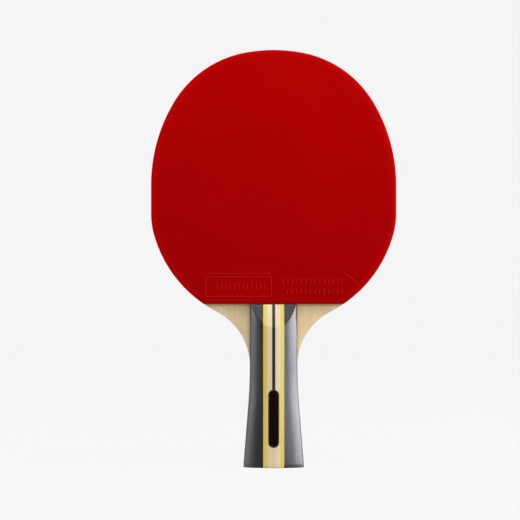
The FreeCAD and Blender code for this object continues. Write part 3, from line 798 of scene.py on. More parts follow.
@dataclass(frozen=True)
class Plan:
    """The outline of the blade, rubbers and handle, seen from the front."""

    handle_length: float = RUBBER_FOOT
    head_half: float = 75.0
    lower_rise: float = 62.8
    lower_swell: float = 1.0
    corner_radius: float = 48.0
    side_length: float = 17.3
    dome_height: float = 82.7
    shoulder_radius: float = 64.5
    tip_angle: float = math.radians(11.2)
    cheek_angle: float = math.radians(30.8)
    waist_half: float = 14.55
    neck_height: float = 62.2
    flare_height: float = 50.5
    butt_half: float = 18.6
    rubber_corner: float = 1.6
    corner_gap: float = 0.3
    corner_step: float = 0.25

    def dome(self) -> tuple[Arc, Arc, Arc]:
        """Work out the upper arcs of the right half.

        Returns:
            The tip, the shoulder and the cheek.
        """
        tip, cheek, shoulder = self.tip_angle, self.cheek_angle, self.shoulder_radius
        width = self.head_half - shoulder * (math.cos(cheek) - math.sin(tip))
        height = self.dome_height - shoulder * (math.cos(tip) - math.sin(cheek))
        drop, drift = 1 - math.cos(tip), 1 - math.cos(cheek)
        both = math.sin(tip) * math.sin(cheek) - drop * drift
        tip_radius = (width * math.sin(cheek) - height * drift) / both
        cheek_radius = (height * math.sin(tip) - width * drop) / both
        side_top = self.corner_centre()[1] + self.side_length
        cheek_centre = (self.head_half - cheek_radius, side_top)
        reach = cheek_radius - shoulder
        shoulder_centre = (cheek_centre[0] + reach * math.cos(cheek),
                           cheek_centre[1] + reach * math.sin(cheek))
        tip_centre = (0.0, side_top + self.dome_height - tip_radius)
        upright = math.pi / 2
        return (Arc(tip_centre, tip_radius, upright, upright - tip),
                Arc(shoulder_centre, shoulder, upright - tip, cheek),
                Arc(cheek_centre, cheek_radius, cheek, 0.0))

    def low_centre(self) -> Point:
        """Find the centre of the circle that the lower head follows."""
        return (0.0, self.handle_length + self.lower_rise)

    def low_radius(self) -> float:
        """Work out the radius of the circle that the lower head follows."""
        return self.head_half + self.lower_swell

    def corner_centre(self) -> Point:
        """Find the centre of the arc between the straight side and the lower circle.

        Returns:
            The centre on the right.
        """
        across = self.head_half - self.corner_radius
        drop = math.sqrt((self.low_radius() - self.corner_radius) ** 2 - across ** 2)
        return (across, self.low_centre()[1] - drop)

    def low_arcs(self) -> tuple[Arc, Arc, Arc]:
        """Work out the lower arcs of the right half.

        Returns:
            The corner, the lower circle and the neck.
        """
        low, corner = self.low_centre(), self.corner_centre()
        leave = math.atan2(corner[1] - low[1], corner[0] - low[0])
        fall = low[1] - self.neck_height
        neck_radius = (fall ** 2 + self.waist_half ** 2 - self.low_radius() ** 2) / (
            2 * (self.low_radius() - self.waist_half))
        neck_centre = (self.waist_half + neck_radius, self.neck_height)
        turn = math.atan2(neck_centre[1] - low[1], neck_centre[0] - low[0])
        return (Arc(corner, self.corner_radius, 0.0, leave),
                Arc(low, self.low_radius(), leave, turn),
                Arc(neck_centre, neck_radius, turn + math.pi, math.pi))

    def flare_angle(self) -> float:
        """Work out how far the flared sides lean out."""
        return math.atan2(self.butt_half - self.waist_half, self.flare_height)

    def ease(self) -> Arc:
        """Work out the arc between the waist and the straight flare.

        Returns:
            The arc on the right.
        """
        lean = self.flare_angle()
        radius = (self.neck_height - self.flare_height) / math.tan(lean / 2)
        return Arc((self.waist_half + radius, self.neck_height), radius, math.pi, math.pi + lean)

    def head_side(self, step: float) -> Loop:
        """Walk the right half of the outline from the tip to the end of the lower circle.

        Args:
            step: The longest step, in millimetres.

        Returns:
            The points, both ends included.
        """
        tip, shoulder, cheek = self.dome()
        corner, low, _ = self.low_arcs()
        points = [(0.0, tip.centre[1] + tip.radius)]
        for arc in (tip, shoulder, cheek):
            points += arc.points(step)
        count = math.ceil(self.side_length / step)
        foot = corner.centre[1]
        points += [(self.head_half, foot + self.side_length * (1 - i / count))
                   for i in range(1, count + 1)]
        return points + corner.points(step) + low.points(step)

    def board(self, step: float) -> Loop:
        """Walk the whole outline of a ply, clockwise from the tip.

        Args:
            step: The longest step, in millimetres.

        Returns:
            The closed loop, without a repeated end.
        """
        right = self.head_side(step) + self.low_arcs()[2].points(step)
        right += self.ease().points(step) + [(self.butt_half, 0.0)]
        return right + [(-x, z) for x, z in reversed(right[1:])]

    def rubber(self, step: float) -> Loop:
        """Walk the outline of a rubber, clockwise from the tip, with its two small corners.

        Args:
            step: The longest step, in millimetres.

        Returns:
            The closed loop, without a repeated end.
        """
        reach = math.sqrt(self.low_radius() ** 2 - self.lower_rise ** 2)
        corner = (reach, self.handle_length)
        slope = math.atan2(self.lower_rise, reach)
        away = (math.sin(slope), math.cos(slope))
        bend = math.pi / 2 - slope
        near = self.rubber_corner * math.tan(bend / 2)
        lowest = corner[1] + near * away[1] + self.corner_gap
        right = [point for point in self.head_side(step) if point[1] > lowest]
        start = (corner[0] + away[0] * near, corner[1] + away[1] * near)
        centre = (corner[0] - near, corner[1] + self.rubber_corner)
        first = math.atan2(start[1] - centre[1], start[0] - centre[0])
        right.append(start)
        right += Arc(centre, self.rubber_corner, first, -math.pi / 2).points(self.corner_step)
        return right + [(-x, z) for x, z in reversed(right[1:])]

    def rubber_ring(self, step: float, depth: float) -> Loop:
        """Walk the rubber's outline at a distance inside it, with sharp corners where it is deep.

        Args:
            step: The longest step, in millimetres.
            depth: The distance.

        Returns:
            A closed loop with as many points as the outline.
        """
        loop = inset(self.rubber(step), depth)
        if depth < self.rubber_corner:
            return loop
        foot = self.handle_length + depth
        reach = math.sqrt((self.low_radius() - depth) ** 2 - (self.lower_rise - depth) ** 2)
        return [(x, z) if z > foot + TOUCH else (math.copysign(reach, x), foot) for x, z in loop]

    def half_width(self, height: float) -> float:
        """Find the half width of a handle scale.

        Args:
            height: Height above the butt.

        Returns:
            Half the width there.
        """
        ease = self.ease()
        if height >= self.neck_height:
            return self.waist_half
        drop = self.neck_height - height
        if drop < ease.radius * math.sin(self.flare_angle()):
            return ease.centre[0] - math.sqrt(ease.radius ** 2 - drop ** 2)
        return self.butt_half - height * math.tan(self.flare_angle())


def inset(loop: Sequence[Point], depth: float) -> Loop:
    """Move a clockwise loop inwards.

    Args:
        loop: The loop.
        depth: How far each point moves, square to the loop.

    Returns:
        The moved loop.
    """
    moved = []
    for number, (x, z) in enumerate(loop):
        before, after = loop[number - 1], loop[(number + 1) % len(loop)]
        way = Vector((after[0] - x, after[1] - z)).normalized()
        came = Vector((x - before[0], z - before[1])).normalized()
        mean = (way + came).normalized()
        share = depth / max(SHARPEST, mean.dot(way))
        moved.append((x + mean.y * share, z - mean.x * share))
    return moved


def quarter(steps: int) -> list[Point]:
    """Walk a quarter turn in equal steps, from a rise of 0 to one of 1.

    Args:
        steps: How many steps it takes.

    Returns:
        For each place, how far it lies in from the start, and its rise.
    """
    turns = [math.radians(90 * i / steps) for i in range(steps + 1)]
    return [(1 - math.cos(turn), math.sin(turn)) for turn in turns]


# ---------------------------------------------------------------- meshes


class Form:
    """Collects points and faces, in millimetres, for one closed mesh."""

    def __init__(self) -> None:
        """Start with nothing."""
        self.points: list[Place] = []
        self.faces: list[tuple[int, ...]] = []
        self.marks: dict[str, list[float]] = {}

    def add(self, places: Sequence[Place], **marks: float | Sequence[float]) -> list[int]:
        """Add points.

        Args:
            places: The points.
            marks: A value for every point, or one for each, of each named attribute.

        Returns:
            The points' numbers.
        """
        start = len(self.points)
        self.points += places
        for name in set(marks) | set(self.marks):
            column = self.marks.setdefault(name, [0.0] * start)
            value = marks.get(name, 0.0)
            column += list(value) if isinstance(value, Sequence) else [value] * len(places)
        return list(range(start, len(self.points)))

    def ring(self, loop: Sequence[Point], level: float, **marks: float) -> list[int]:
        """Add a loop of the plan at one level of Y and return its points' numbers."""
        return self.add([(x, level, z) for x, z in loop], **marks)

    def bridge(self, one: Sequence[int], other: Sequence[int], closed: bool = True) -> None:
        """Join two rows of points with faces.

        Args:
            one: The first row.
            other: The second row, as long as the first.
            closed: Whether the last points join the first.
        """
        for i in range(len(one) if closed else len(one) - 1):
            j = (i + 1) % len(one)
            self.faces.append((one[i], one[j], other[j], other[i]))

    def cap(self, row: Sequence[int]) -> None:
        """Close a flat loop with one face."""
        self.faces.append(tuple(row))

    def close(self, rings: Sequence[Sequence[int]]) -> None:
        """Join rings in turn and close the first and the last.

        Args:
            rings: The numbers of the points of each ring.
        """
        for one, other in zip(rings, rings[1:]):
            self.bridge(one, other)
        self.cap(rings[0])
        self.cap(list(reversed(rings[-1])))

    def raw_mesh(self, name: str, edges: Sequence[tuple[int, int]] = ()) -> bpy.types.Mesh:
        """Make the mesh as it is.

        Args:
            name: The mesh's name.
            edges: Edges besides those of the faces.

        Returns:
            The mesh, in metres.
        """
        mesh = bpy.data.meshes.new(name)
        places = [tuple(value * MM for value in place) for place in self.points]
        mesh.from_pydata(places, edges, self.faces)
        for label, column in self.marks.items():
            layer = mesh.attributes.new(label, "FLOAT", "POINT")
            layer.data.foreach_set("value", column)
        return mesh

    def mesh(self, name: str) -> bpy.types.Mesh:
        """Make the mesh, welded, with its faces outwards.

        Args:
            name: The mesh's name.

        Returns:
            The mesh, in metres.
        """
        mesh = self.raw_mesh(name)
        turn_outwards(mesh)
        return mesh


def turn_outwards(mesh: bpy.types.Mesh) -> None:
    """Weld doubled points, drop flat faces, turn the faces outwards and mark the creases.

    Args:
        mesh: The mesh.
    """
    work = bmesh.new()
    work.from_mesh(mesh)
    bmesh.ops.remove_doubles(work, verts=work.verts, dist=WELD * MM)
    bmesh.ops.dissolve_degenerate(work, edges=work.edges, dist=WELD * MM)
    bmesh.ops.recalc_face_normals(work, faces=work.faces)
    work.to_mesh(mesh)
    work.free()
    mesh.polygons.foreach_set("use_smooth", [True] * len(mesh.polygons))
    mesh.set_sharp_from_angle(angle=SHARP_ANGLE)


def new_piece(name: str, mesh: bpy.types.Mesh, finish: Finish | None) -> bpy.types.Object:
    """Put a mesh in the scene.

    Args:
        name: The piece's name.
        mesh: Its mesh.
        finish: Its finish, or None where the mesh has it already.

    Returns:
        The object, at the origin.
    """
    piece = bpy.data.objects.new(name, mesh)
    bpy.context.scene.collection.objects.link(piece)
    if finish is not None:
        mesh.materials.clear()
        mesh.materials.append(finish.material())
    return piece


def settle(piece: bpy.types.Object, slot: str, node: str) -> None:
    """Let a piece ride on the body in place of its node, and log its material slot.

    Args:
        piece: The finished piece.
        slot: The record's material slot.
        node: The frame's node that it stands for.
    """
    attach(piece, BODY)
    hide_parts(node)
    log.info("%s: %d faces, slot %s", piece.name, len(piece.data.polygons), slot)


def apply_nodes(piece: bpy.types.Object, tree: bpy.types.NodeTree,
                values: dict[str, object]) -> None:
    """Run a geometry tree on a piece and keep the result as its plain mesh, faces outwards.

    Args:
        piece: The piece.
        tree: The tree.
        values: A value for each of the tree's named inputs.
    """
    modifier = piece.modifiers.new(tree.name, "NODES")
    modifier.node_group = tree
    sockets = {item.name: item.identifier for item in tree.interface.items_tree
               if item.item_type == "SOCKET" and item.in_out == "INPUT"}
    for label, value in values.items():
        modifier[sockets[label]] = value
    bake_modifiers(piece)
    turn_outwards(piece.data)


def bake_modifiers(piece: bpy.types.Object) -> None:
    """Turn a piece and its modifiers into a plain mesh.

    Args:
        piece: The piece.
    """
    graph = bpy.context.evaluated_depsgraph_get()
    graph.update()
    mesh = bpy.data.meshes.new_from_object(piece.evaluated_get(graph),
                                           preserve_all_data_layers=True, depsgraph=graph)
    piece.modifiers.clear()
    piece.data = mesh


def cut_away(piece: bpy.types.Object, *cutters: bpy.types.Object) -> None:
    """Cut closed meshes out of another, one after the other.

    Args:
        piece: What is cut.
        cutters: What is taken out of it.
    """
    for cutter in cutters:
        cut = piece.modifiers.new("cut", "BOOLEAN")
        cut.operation = "DIFFERENCE"
        cut.solver = "EXACT"
        cut.object = cutter
        bake_modifiers(piece)
    turn_outwards(piece.data)


# ---------------------------------------------------------------- geometry trees


def dress(wires: Wiring, shape: bpy.types.NodeSocket, given: bpy.types.Node,
          made: bpy.types.Node) -> bpy.types.NodeTree:
    """End a geometry tree: turn instances into a mesh and give it the tree's material.

    Args:
        wires: The tree's wiring.
        shape: The geometry.
        given: The tree's input node.
        made: The tree's output node.

    Returns:
        The tree.
    """
    whole = wires.add("GeometryNodeRealizeInstances", {"Geometry": shape}).outputs[0]
    dressed = wires.add("GeometryNodeSetMaterial", {
        "Geometry": whole, "Material": given.outputs["Material"]}).outputs[0]
    return wires.give(made, Geometry=dressed)


def crown_tree() -> bpy.types.NodeTree:
    """Make the tree that raises flat sticks to the handle's crown and its slanted top.

    A point's own attributes say how far it follows the crown (lift), its level above that
    (base) and the half width of the crown's ellipse at its height (spread).

    Returns:
        The tree, which works in metres.
    """
    wires, given, made = new_group(
        "crowned_stick", "GeometryNodeTree",
        {"Geometry": "NodeSocketGeometry", "Side": 1.0, "Blade Half": 0.003,
         "Crown Rise": 0.0086, "Butt Rise": 0.0093, "Flare Height": 0.0505,
         "Scoop Top": 0.0997, "Scoop Edge": 0.0033, "Scoop Slope": 0.3786,
         "Softness": 0.0003, "Material": "NodeSocketMaterial"},
        {"Geometry": "NodeSocketGeometry"})

    def mark(label: str) -> bpy.types.NodeSocket:
        """Read a number that the points carry."""
        return wires.add("GeometryNodeInputNamedAttribute", {"Name": label},
                         data_type="FLOAT").outputs[0]

    out = given.outputs
    place = wires.split(wires.add("GeometryNodeInputPosition").outputs[0]).outputs
    share = wires.math("DIVIDE", place["X"], mark("spread"))
    inside = wires.math("MAXIMUM", wires.math("SUBTRACT", 1.0,
                                              wires.math("MULTIPLY", share, share)), 0.0)
    rise = wires.ramp(place["Z"], 0.0, out["Flare Height"], out["Butt Rise"], out["Crown Rise"])
    crown = wires.math("MULTIPLY", rise, wires.math("SQRT", inside))
    below = wires.math("SUBTRACT", out["Scoop Top"], place["Z"])
    slant = wires.math("ADD", out["Scoop Edge"], wires.math("MULTIPLY", below,
                                                            out["Scoop Slope"]))
    height = wires.math("SMOOTH_MIN", crown, slant, out["Softness"])
    lifted = wires.math("ADD", wires.math("MULTIPLY", height, mark("lift")), mark("base"))
    level = wires.math("MULTIPLY", out["Side"], wires.math("ADD", out["Blade Half"], lifted))
    moved = wires.add("GeometryNodeSetPosition", {
        "Geometry": out["Geometry"], "Position": wires.combine(place["X"], level, place["Z"])})
    return dress(wires, moved.outputs[0], given, made)


def pimple_tree() -> bpy.types.NodeTree:
    """Make the tree that fills a flat outline with pimples in staggered rows.

    A place is in the outline where a ray along +Y, from far in front of it, meets the outline.

    Returns:
        The tree, which works in metres.
    """
    wires, given, made = new_group(
        "pimple_rows", "GeometryNodeTree",
        {"Geometry": "NodeSocketGeometry", "Pitch": 0.0022, "Radius": 0.0008,
         "Height": 0.001, "Level": 0.0054, "Middle": 0.178, "Columns": 72, "Rows": 84,
         "Sides": 6, "Material": "NodeSocketMaterial"},
        {"Geometry": "NodeSocketGeometry"})
    out = given.outputs
    ray_start, ray_length = -1.0, 2.0
    row_gap = wires.math("MULTIPLY", out["Pitch"], math.sqrt(3) / 2)
    lattice = wires.add("GeometryNodeMeshGrid", {
        "Size X": wires.math("MULTIPLY", wires.math("SUBTRACT", out["Columns"], 1.0),
                             out["Pitch"]),
        "Size Y": wires.math("MULTIPLY", wires.math("SUBTRACT", out["Rows"], 1.0), row_gap),
        "Vertices X": out["Columns"], "Vertices Y": out["Rows"]}).outputs["Mesh"]
    row = wires.math("MODULO", wires.add("GeometryNodeInputIndex").outputs[0], out["Rows"])
    odd = wires.math("MODULO", row, 2.0)
    shift = wires.math("MULTIPLY", wires.math("MULTIPLY", odd, out["Pitch"]), 0.5)
    flat = wires.split(wires.add("GeometryNodeInputPosition").outputs[0]).outputs
    target = wires.combine(wires.math("ADD", flat["X"], shift), out["Level"],
                           wires.math("ADD", flat["Y"], out["Middle"]))
    stood = wires.add("GeometryNodeSetPosition", {"Geometry": lattice,
                                                  "Position": target}).outputs[0]
    spots = wires.add("GeometryNodeMeshToPoints", {"Mesh": stood}).outputs[0]
    own = wires.split(wires.add("GeometryNodeInputPosition").outputs[0]).outputs
    hit = wires.add("GeometryNodeRaycast", {
        "Target Geometry": out["Geometry"],
        "Source Position": wires.combine(own["X"], ray_start, own["Z"]),
        "Ray Direction": (0.0, 1.0, 0.0), "Ray Length": ray_length}).outputs["Is Hit"]
    outside = wires.add("FunctionNodeBooleanMath", {0: hit}, operation="NOT").outputs[0]
    kept = wires.add("GeometryNodeDeleteGeometry", {"Geometry": spots, "Selection": outside},
                     domain="POINT").outputs[0]
    post = wires.add("GeometryNodeMeshCylinder", {
        "Vertices": out["Sides"], "Radius": out["Radius"], "Depth": out["Height"]})
    posts = wires.add("GeometryNodeInstanceOnPoints", {
        "Points": kept, "Instance": post.outputs["Mesh"],
        "Rotation": (math.pi / 2, 0.0, 0.0)}).outputs[0]
    return dress(wires, posts, given, made)


def ridge_tree() -> bpy.types.NodeTree:
    """Make the tree that lays a round moulded ridge along every line of a drawing.

    Returns:
        The tree, which works in metres.
    """
    wires, given, made = new_group(
        "moulded_ridge", "GeometryNodeTree",
        {"Geometry": "NodeSocketGeometry", "Width": 0.0006, "Corner": 0.0007,
         "Corner Points": 4, "Sides": 10, "Material": "NodeSocketMaterial"},
        {"Geometry": "NodeSocketGeometry"})
    out = given.outputs
    line = wires.add("GeometryNodeMeshToCurve", {0: out["Geometry"]}).outputs[0]
    eased = wires.add("GeometryNodeFilletCurve", {
        "Curve": line, "Count": out["Corner Points"], "Radius": out["Corner"],
        "Limit Radius": True}, mode="POLY").outputs[0]
    round_section = wires.add("GeometryNodeCurvePrimitiveCircle", {
        "Resolution": out["Sides"],
        "Radius": wires.math("MULTIPLY", out["Width"], 0.5)}).outputs[0]
    swept = wires.add("GeometryNodeCurveToMesh", {
        "Curve": eased, "Profile Curve": round_section, "Fill Caps": True}).outputs[0]
    return dress(wires, swept, given, made)


CROWNED_STICK = crown_tree()
PIMPLE_ROWS = pimple_tree()
MOULDED_RIDGE = ridge_tree()


# ---------------------------------------------------------------- blade


@dataclass
class Blade:
    """The five glued plies."""

    plan: Plan
    core: float = 2.6
    inner: float = 1.0
    face: float = 0.7
    edge_round: float = 0.35
    edge_turns: int = 3
    groove: float = 0.06
    step: float = 1.2

    def half(self) -> float:
        """Add up half the blade's thickness."""
        return self.core / 2 + self.inner + self.face

    def build(self) -> None:
        """Make the plies."""
        half = self.core / 2
        outer = half + self.inner
        self.ply("core_ply", "core_wood", CORE_WOOD, self.square_edge(-half, half))
        for side in Side:
            for word, slot, finish, profile in (
                    ("inner", "cross_veneer", CROSS_VENEER, self.square_edge(half, outer)),
                    ("face", "face_veneer", FACE_VENEER, self.round_edge(outer))):
                self.ply("%s_%s_ply" % (side.prefix, word), slot, finish,
                         [(depth, side.value * level) for depth, level in profile])

    def square_edge(self, low: float, high: float) -> Loop:
        """Give the profile of an inner ply, with a fine groove where it is glued.

        Args:
            low: The level of one glued face.
            high: The level of the other.

        Returns:
            Depth and level of each ring.
        """
        return [(self.groove, low), (0.0, low + self.groove), (0.0, high - self.groove),
                (self.groove, high)]

    def round_edge(self, low: float) -> Loop:
        """Give the profile of an outer ply, rounded where hand and rubber meet it.

        Args:
            low: The level of its glued face.

        Returns:
            Depth and level of each ring.
        """
        centre = self.half() - self.edge_round
        return [(self.groove, low), (0.0, low + self.groove)] + [
            (self.edge_round * inward, centre + self.edge_round * up)
            for inward, up in quarter(self.edge_turns)]

    def ply(self, name: str, slot: str, finish: Finish, profile: Sequence[Point]) -> None:
        """Make one ply.

        Args:
            name: The name of its node.
            slot: Its material slot.
            finish: Its finish.
            profile: Depth and level of each ring of its edge.
        """
        form = Form()
        board = self.plan.board(self.step)
        form.close([form.ring(inset(board, depth), level, inward=depth)
                    for depth, level in profile])
        settle(new_piece("dressed_" + name, form.mesh(name + "_mesh"), finish), slot, name)


# ---------------------------------------------------------------- rubbers


@dataclass(frozen=True)
class BarRow:
    """A row of upright bars in the moulded strip, placed above the strip's foot."""

    left: float
    right: float
    rise: float
    height: float

    def strokes(self, foot: float, gap: float) -> list[Loop]:
        """Draw the bars.

        Args:
            foot: The height of the strip's foot.
            gap: About how far apart the bars stand.

        Returns:
            The bars, each a line of two points.
        """
        count = int((self.right - self.left) / gap)
        places = [self.left + (self.right - self.left) / count * i for i in range(count + 1)]
        low = foot + self.rise
        return [[(x, low), (x, low + self.height)] for x in places]


@dataclass
class MouldedStrip:
    """The raised marks along a rubber's lower edge: a frame, rows of bars and a pennant line."""

    foot: float = 104.6
    top: float = 116.5
    near: float = 1.4
    far: float = 41.5
    over_gap: float = 2.1
    over_inset: float = 1.0
    bar_gap: float = 2.6
    line: float = 0.6
    corner: float = 0.7
    relief: float = 0.25
    rows: tuple[BarRow, ...] = (
        BarRow(-34.5, -5.4, 4.2, 4.4), BarRow(5.9, 42.0, 7.6, 3.6), BarRow(8.5, 42.0, 1.4, 3.4))
    pennant: tuple[Point, Point] = ((43.3, 119.0), (52.6, 111.4))

    def strokes(self) -> list[Loop]:
        """Draw the lines of the strip.

        Returns:
            The lines, each a run of points in the plan; a ring ends where it starts.
        """
        ring = [(-self.far, self.foot), (-self.far, self.top), (-self.near, self.top),
                (-self.near, self.foot), (-self.far, self.foot)]
        over = self.top + self.over_gap
        strokes = [ring, [(-self.far + self.over_inset, over), (-self.near, over)],
                   list(self.pennant)]
        for row in self.rows:
            strokes += row.strokes(self.foot, self.bar_gap)
        return strokes


@dataclass
class RubberSheet:
    """A topsheet and its sponge on one face of the blade.

    The sponge's waists say how far in its edge lies at shares of its thickness.
    """

    plan: Plan
    side: Side
    level: float
    finish: Finish
    moulding: Finish
    strip: MouldedStrip = field(default_factory=MouldedStrip)
    sponge: float = 2.0
    sponge_corner: float = 0.05
    sponge_waists: tuple[Point, ...] = ((0.12, 0.3), (0.16, 0.5), (0.12, 0.7))
    lip: float = 0.06
    topsheet: float = 1.7
    skin: float = 0.9
    skin_undercut: float = 0.12
    rim_round: float = 0.75
    rim_reach: float = 1.9
    rim_turns: int = 6
    face_rings: tuple[float, ...] = (0.2, 5.0)
    pitch: float = 2.2
    pimple_radius: float = 0.82
    pimple_inset: float = 0.5
    pimple_root: float = 0.1
    lattice_rise: float = 15.0
    step: float = 1.2

    def build(self) -> None:
        """Make the sponge, the skin, the pimples and the moulded strip."""
        prefix = self.side.prefix
        settle(self.make_sponge(), prefix + "_sponge", prefix + "_sponge")
        slot = ("red" if self.side is Side.FRONT else "black") + "_rubber"
        for make in (self.make_skin, self.make_pimples, self.make_strip):
            settle(make(), slot, prefix + "_topsheet")

    def top(self) -> float:
        """Find the level of the playing face."""
        return self.level + self.sponge + self.topsheet

    def slab(self, name: str, finish: Finish, profile: Sequence[Point]) -> bpy.types.Object:
        """Make a sheet of the rubber's outline.

        Args:
            name: The piece's name.
            finish: Its finish.
            profile: For each ring of its edge, how far in it lies and its height on the blade.

        Returns:
            The piece.
        """
        form = Form()
        form.close([form.ring(self.plan.rubber_ring(self.step, depth),
                              self.side.value * (self.level + up), inward=depth)
                    for depth, up in profile])
        return new_piece(name, form.mesh(name + "_mesh"), finish)

    def make_sponge(self) -> bpy.types.Object:
        """Make the sponge, its cut edge drawn in a little at mid thickness.

        Returns:
            The piece.
        """
        profile = [(self.sponge_corner, 0.0), (0.0, self.lip)]
        profile += [(depth, self.sponge * share) for depth, share in self.sponge_waists]
        profile += [(0.0, self.sponge - self.lip), (self.sponge_corner, self.sponge)]
        return self.slab("dressed_" + self.side.prefix + "_sponge", APRICOT_FOAM, profile)

    def make_skin(self) -> bpy.types.Object:
        """Make the smooth skin with its rounded rim.

        Returns:
            The piece.
        """
        top = self.sponge + self.topsheet
        profile = [(self.skin_undercut, top - self.skin), (0.0, top - self.skin + self.lip)]
        centre = top - self.rim_round
        profile += [(self.rim_reach * inward, centre + self.rim_round * up)
                    for inward, up in quarter(self.rim_turns)]
        profile += [(self.rim_reach + further, top) for further in self.face_rings]
        return self.slab(self.side.prefix + "_rubber_skin", self.finish, profile)

    def make_pimples(self) -> bpy.types.Object:
        """Make the pimples between the sponge and the skin.

        Returns:
            The piece.
        """
        name = self.side.prefix + "_pimples"
        field_edge = inset(self.plan.rubber(self.step), self.pimple_inset + self.pimple_radius)
        form = Form()
        form.cap(form.ring(field_edge, 0.0))
        piece = new_piece(name, form.mesh(name + "_field"), None)
        tall = self.topsheet - self.skin + self.pimple_root
        middle = self.level + self.sponge + tall / 2
        apply_nodes(piece, PIMPLE_ROWS, {
            "Pitch": self.pitch * MM, "Radius": self.pimple_radius * MM,
            "Height": tall * MM, "Level": self.side.value * middle * MM,
            "Middle": (self.plan.low_centre()[1] + self.lattice_rise) * MM,
            "Material": self.finish.material()})
        return piece

    def make_strip(self) -> bpy.types.Object:
        """Make the raised marks of the moulded strip.

        Returns:
            The piece.
        """
        name = self.side.prefix + "_moulded_strip"
        level = self.side.value * (self.top() + self.strip.relief - self.strip.line / 2)
        drawing = Form()
        edges: list[tuple[int, int]] = []
        for stroke in self.strip.strokes():
            ring = stroke[0] == stroke[-1]
            run = drawing.ring(stroke[:-1] if ring else stroke, level)
            edges += zip(run, run[1:])
            if ring:
                edges.append((run[-1], run[0]))
        piece = new_piece(name, drawing.raw_mesh(name + "_drawing", edges), None)
        apply_nodes(piece, MOULDED_RIDGE, {
            "Width": self.strip.line * MM, "Corner": self.strip.corner * MM,
            "Material": self.moulding.material()})
        return piece


# ---------------------------------------------------------------- handle


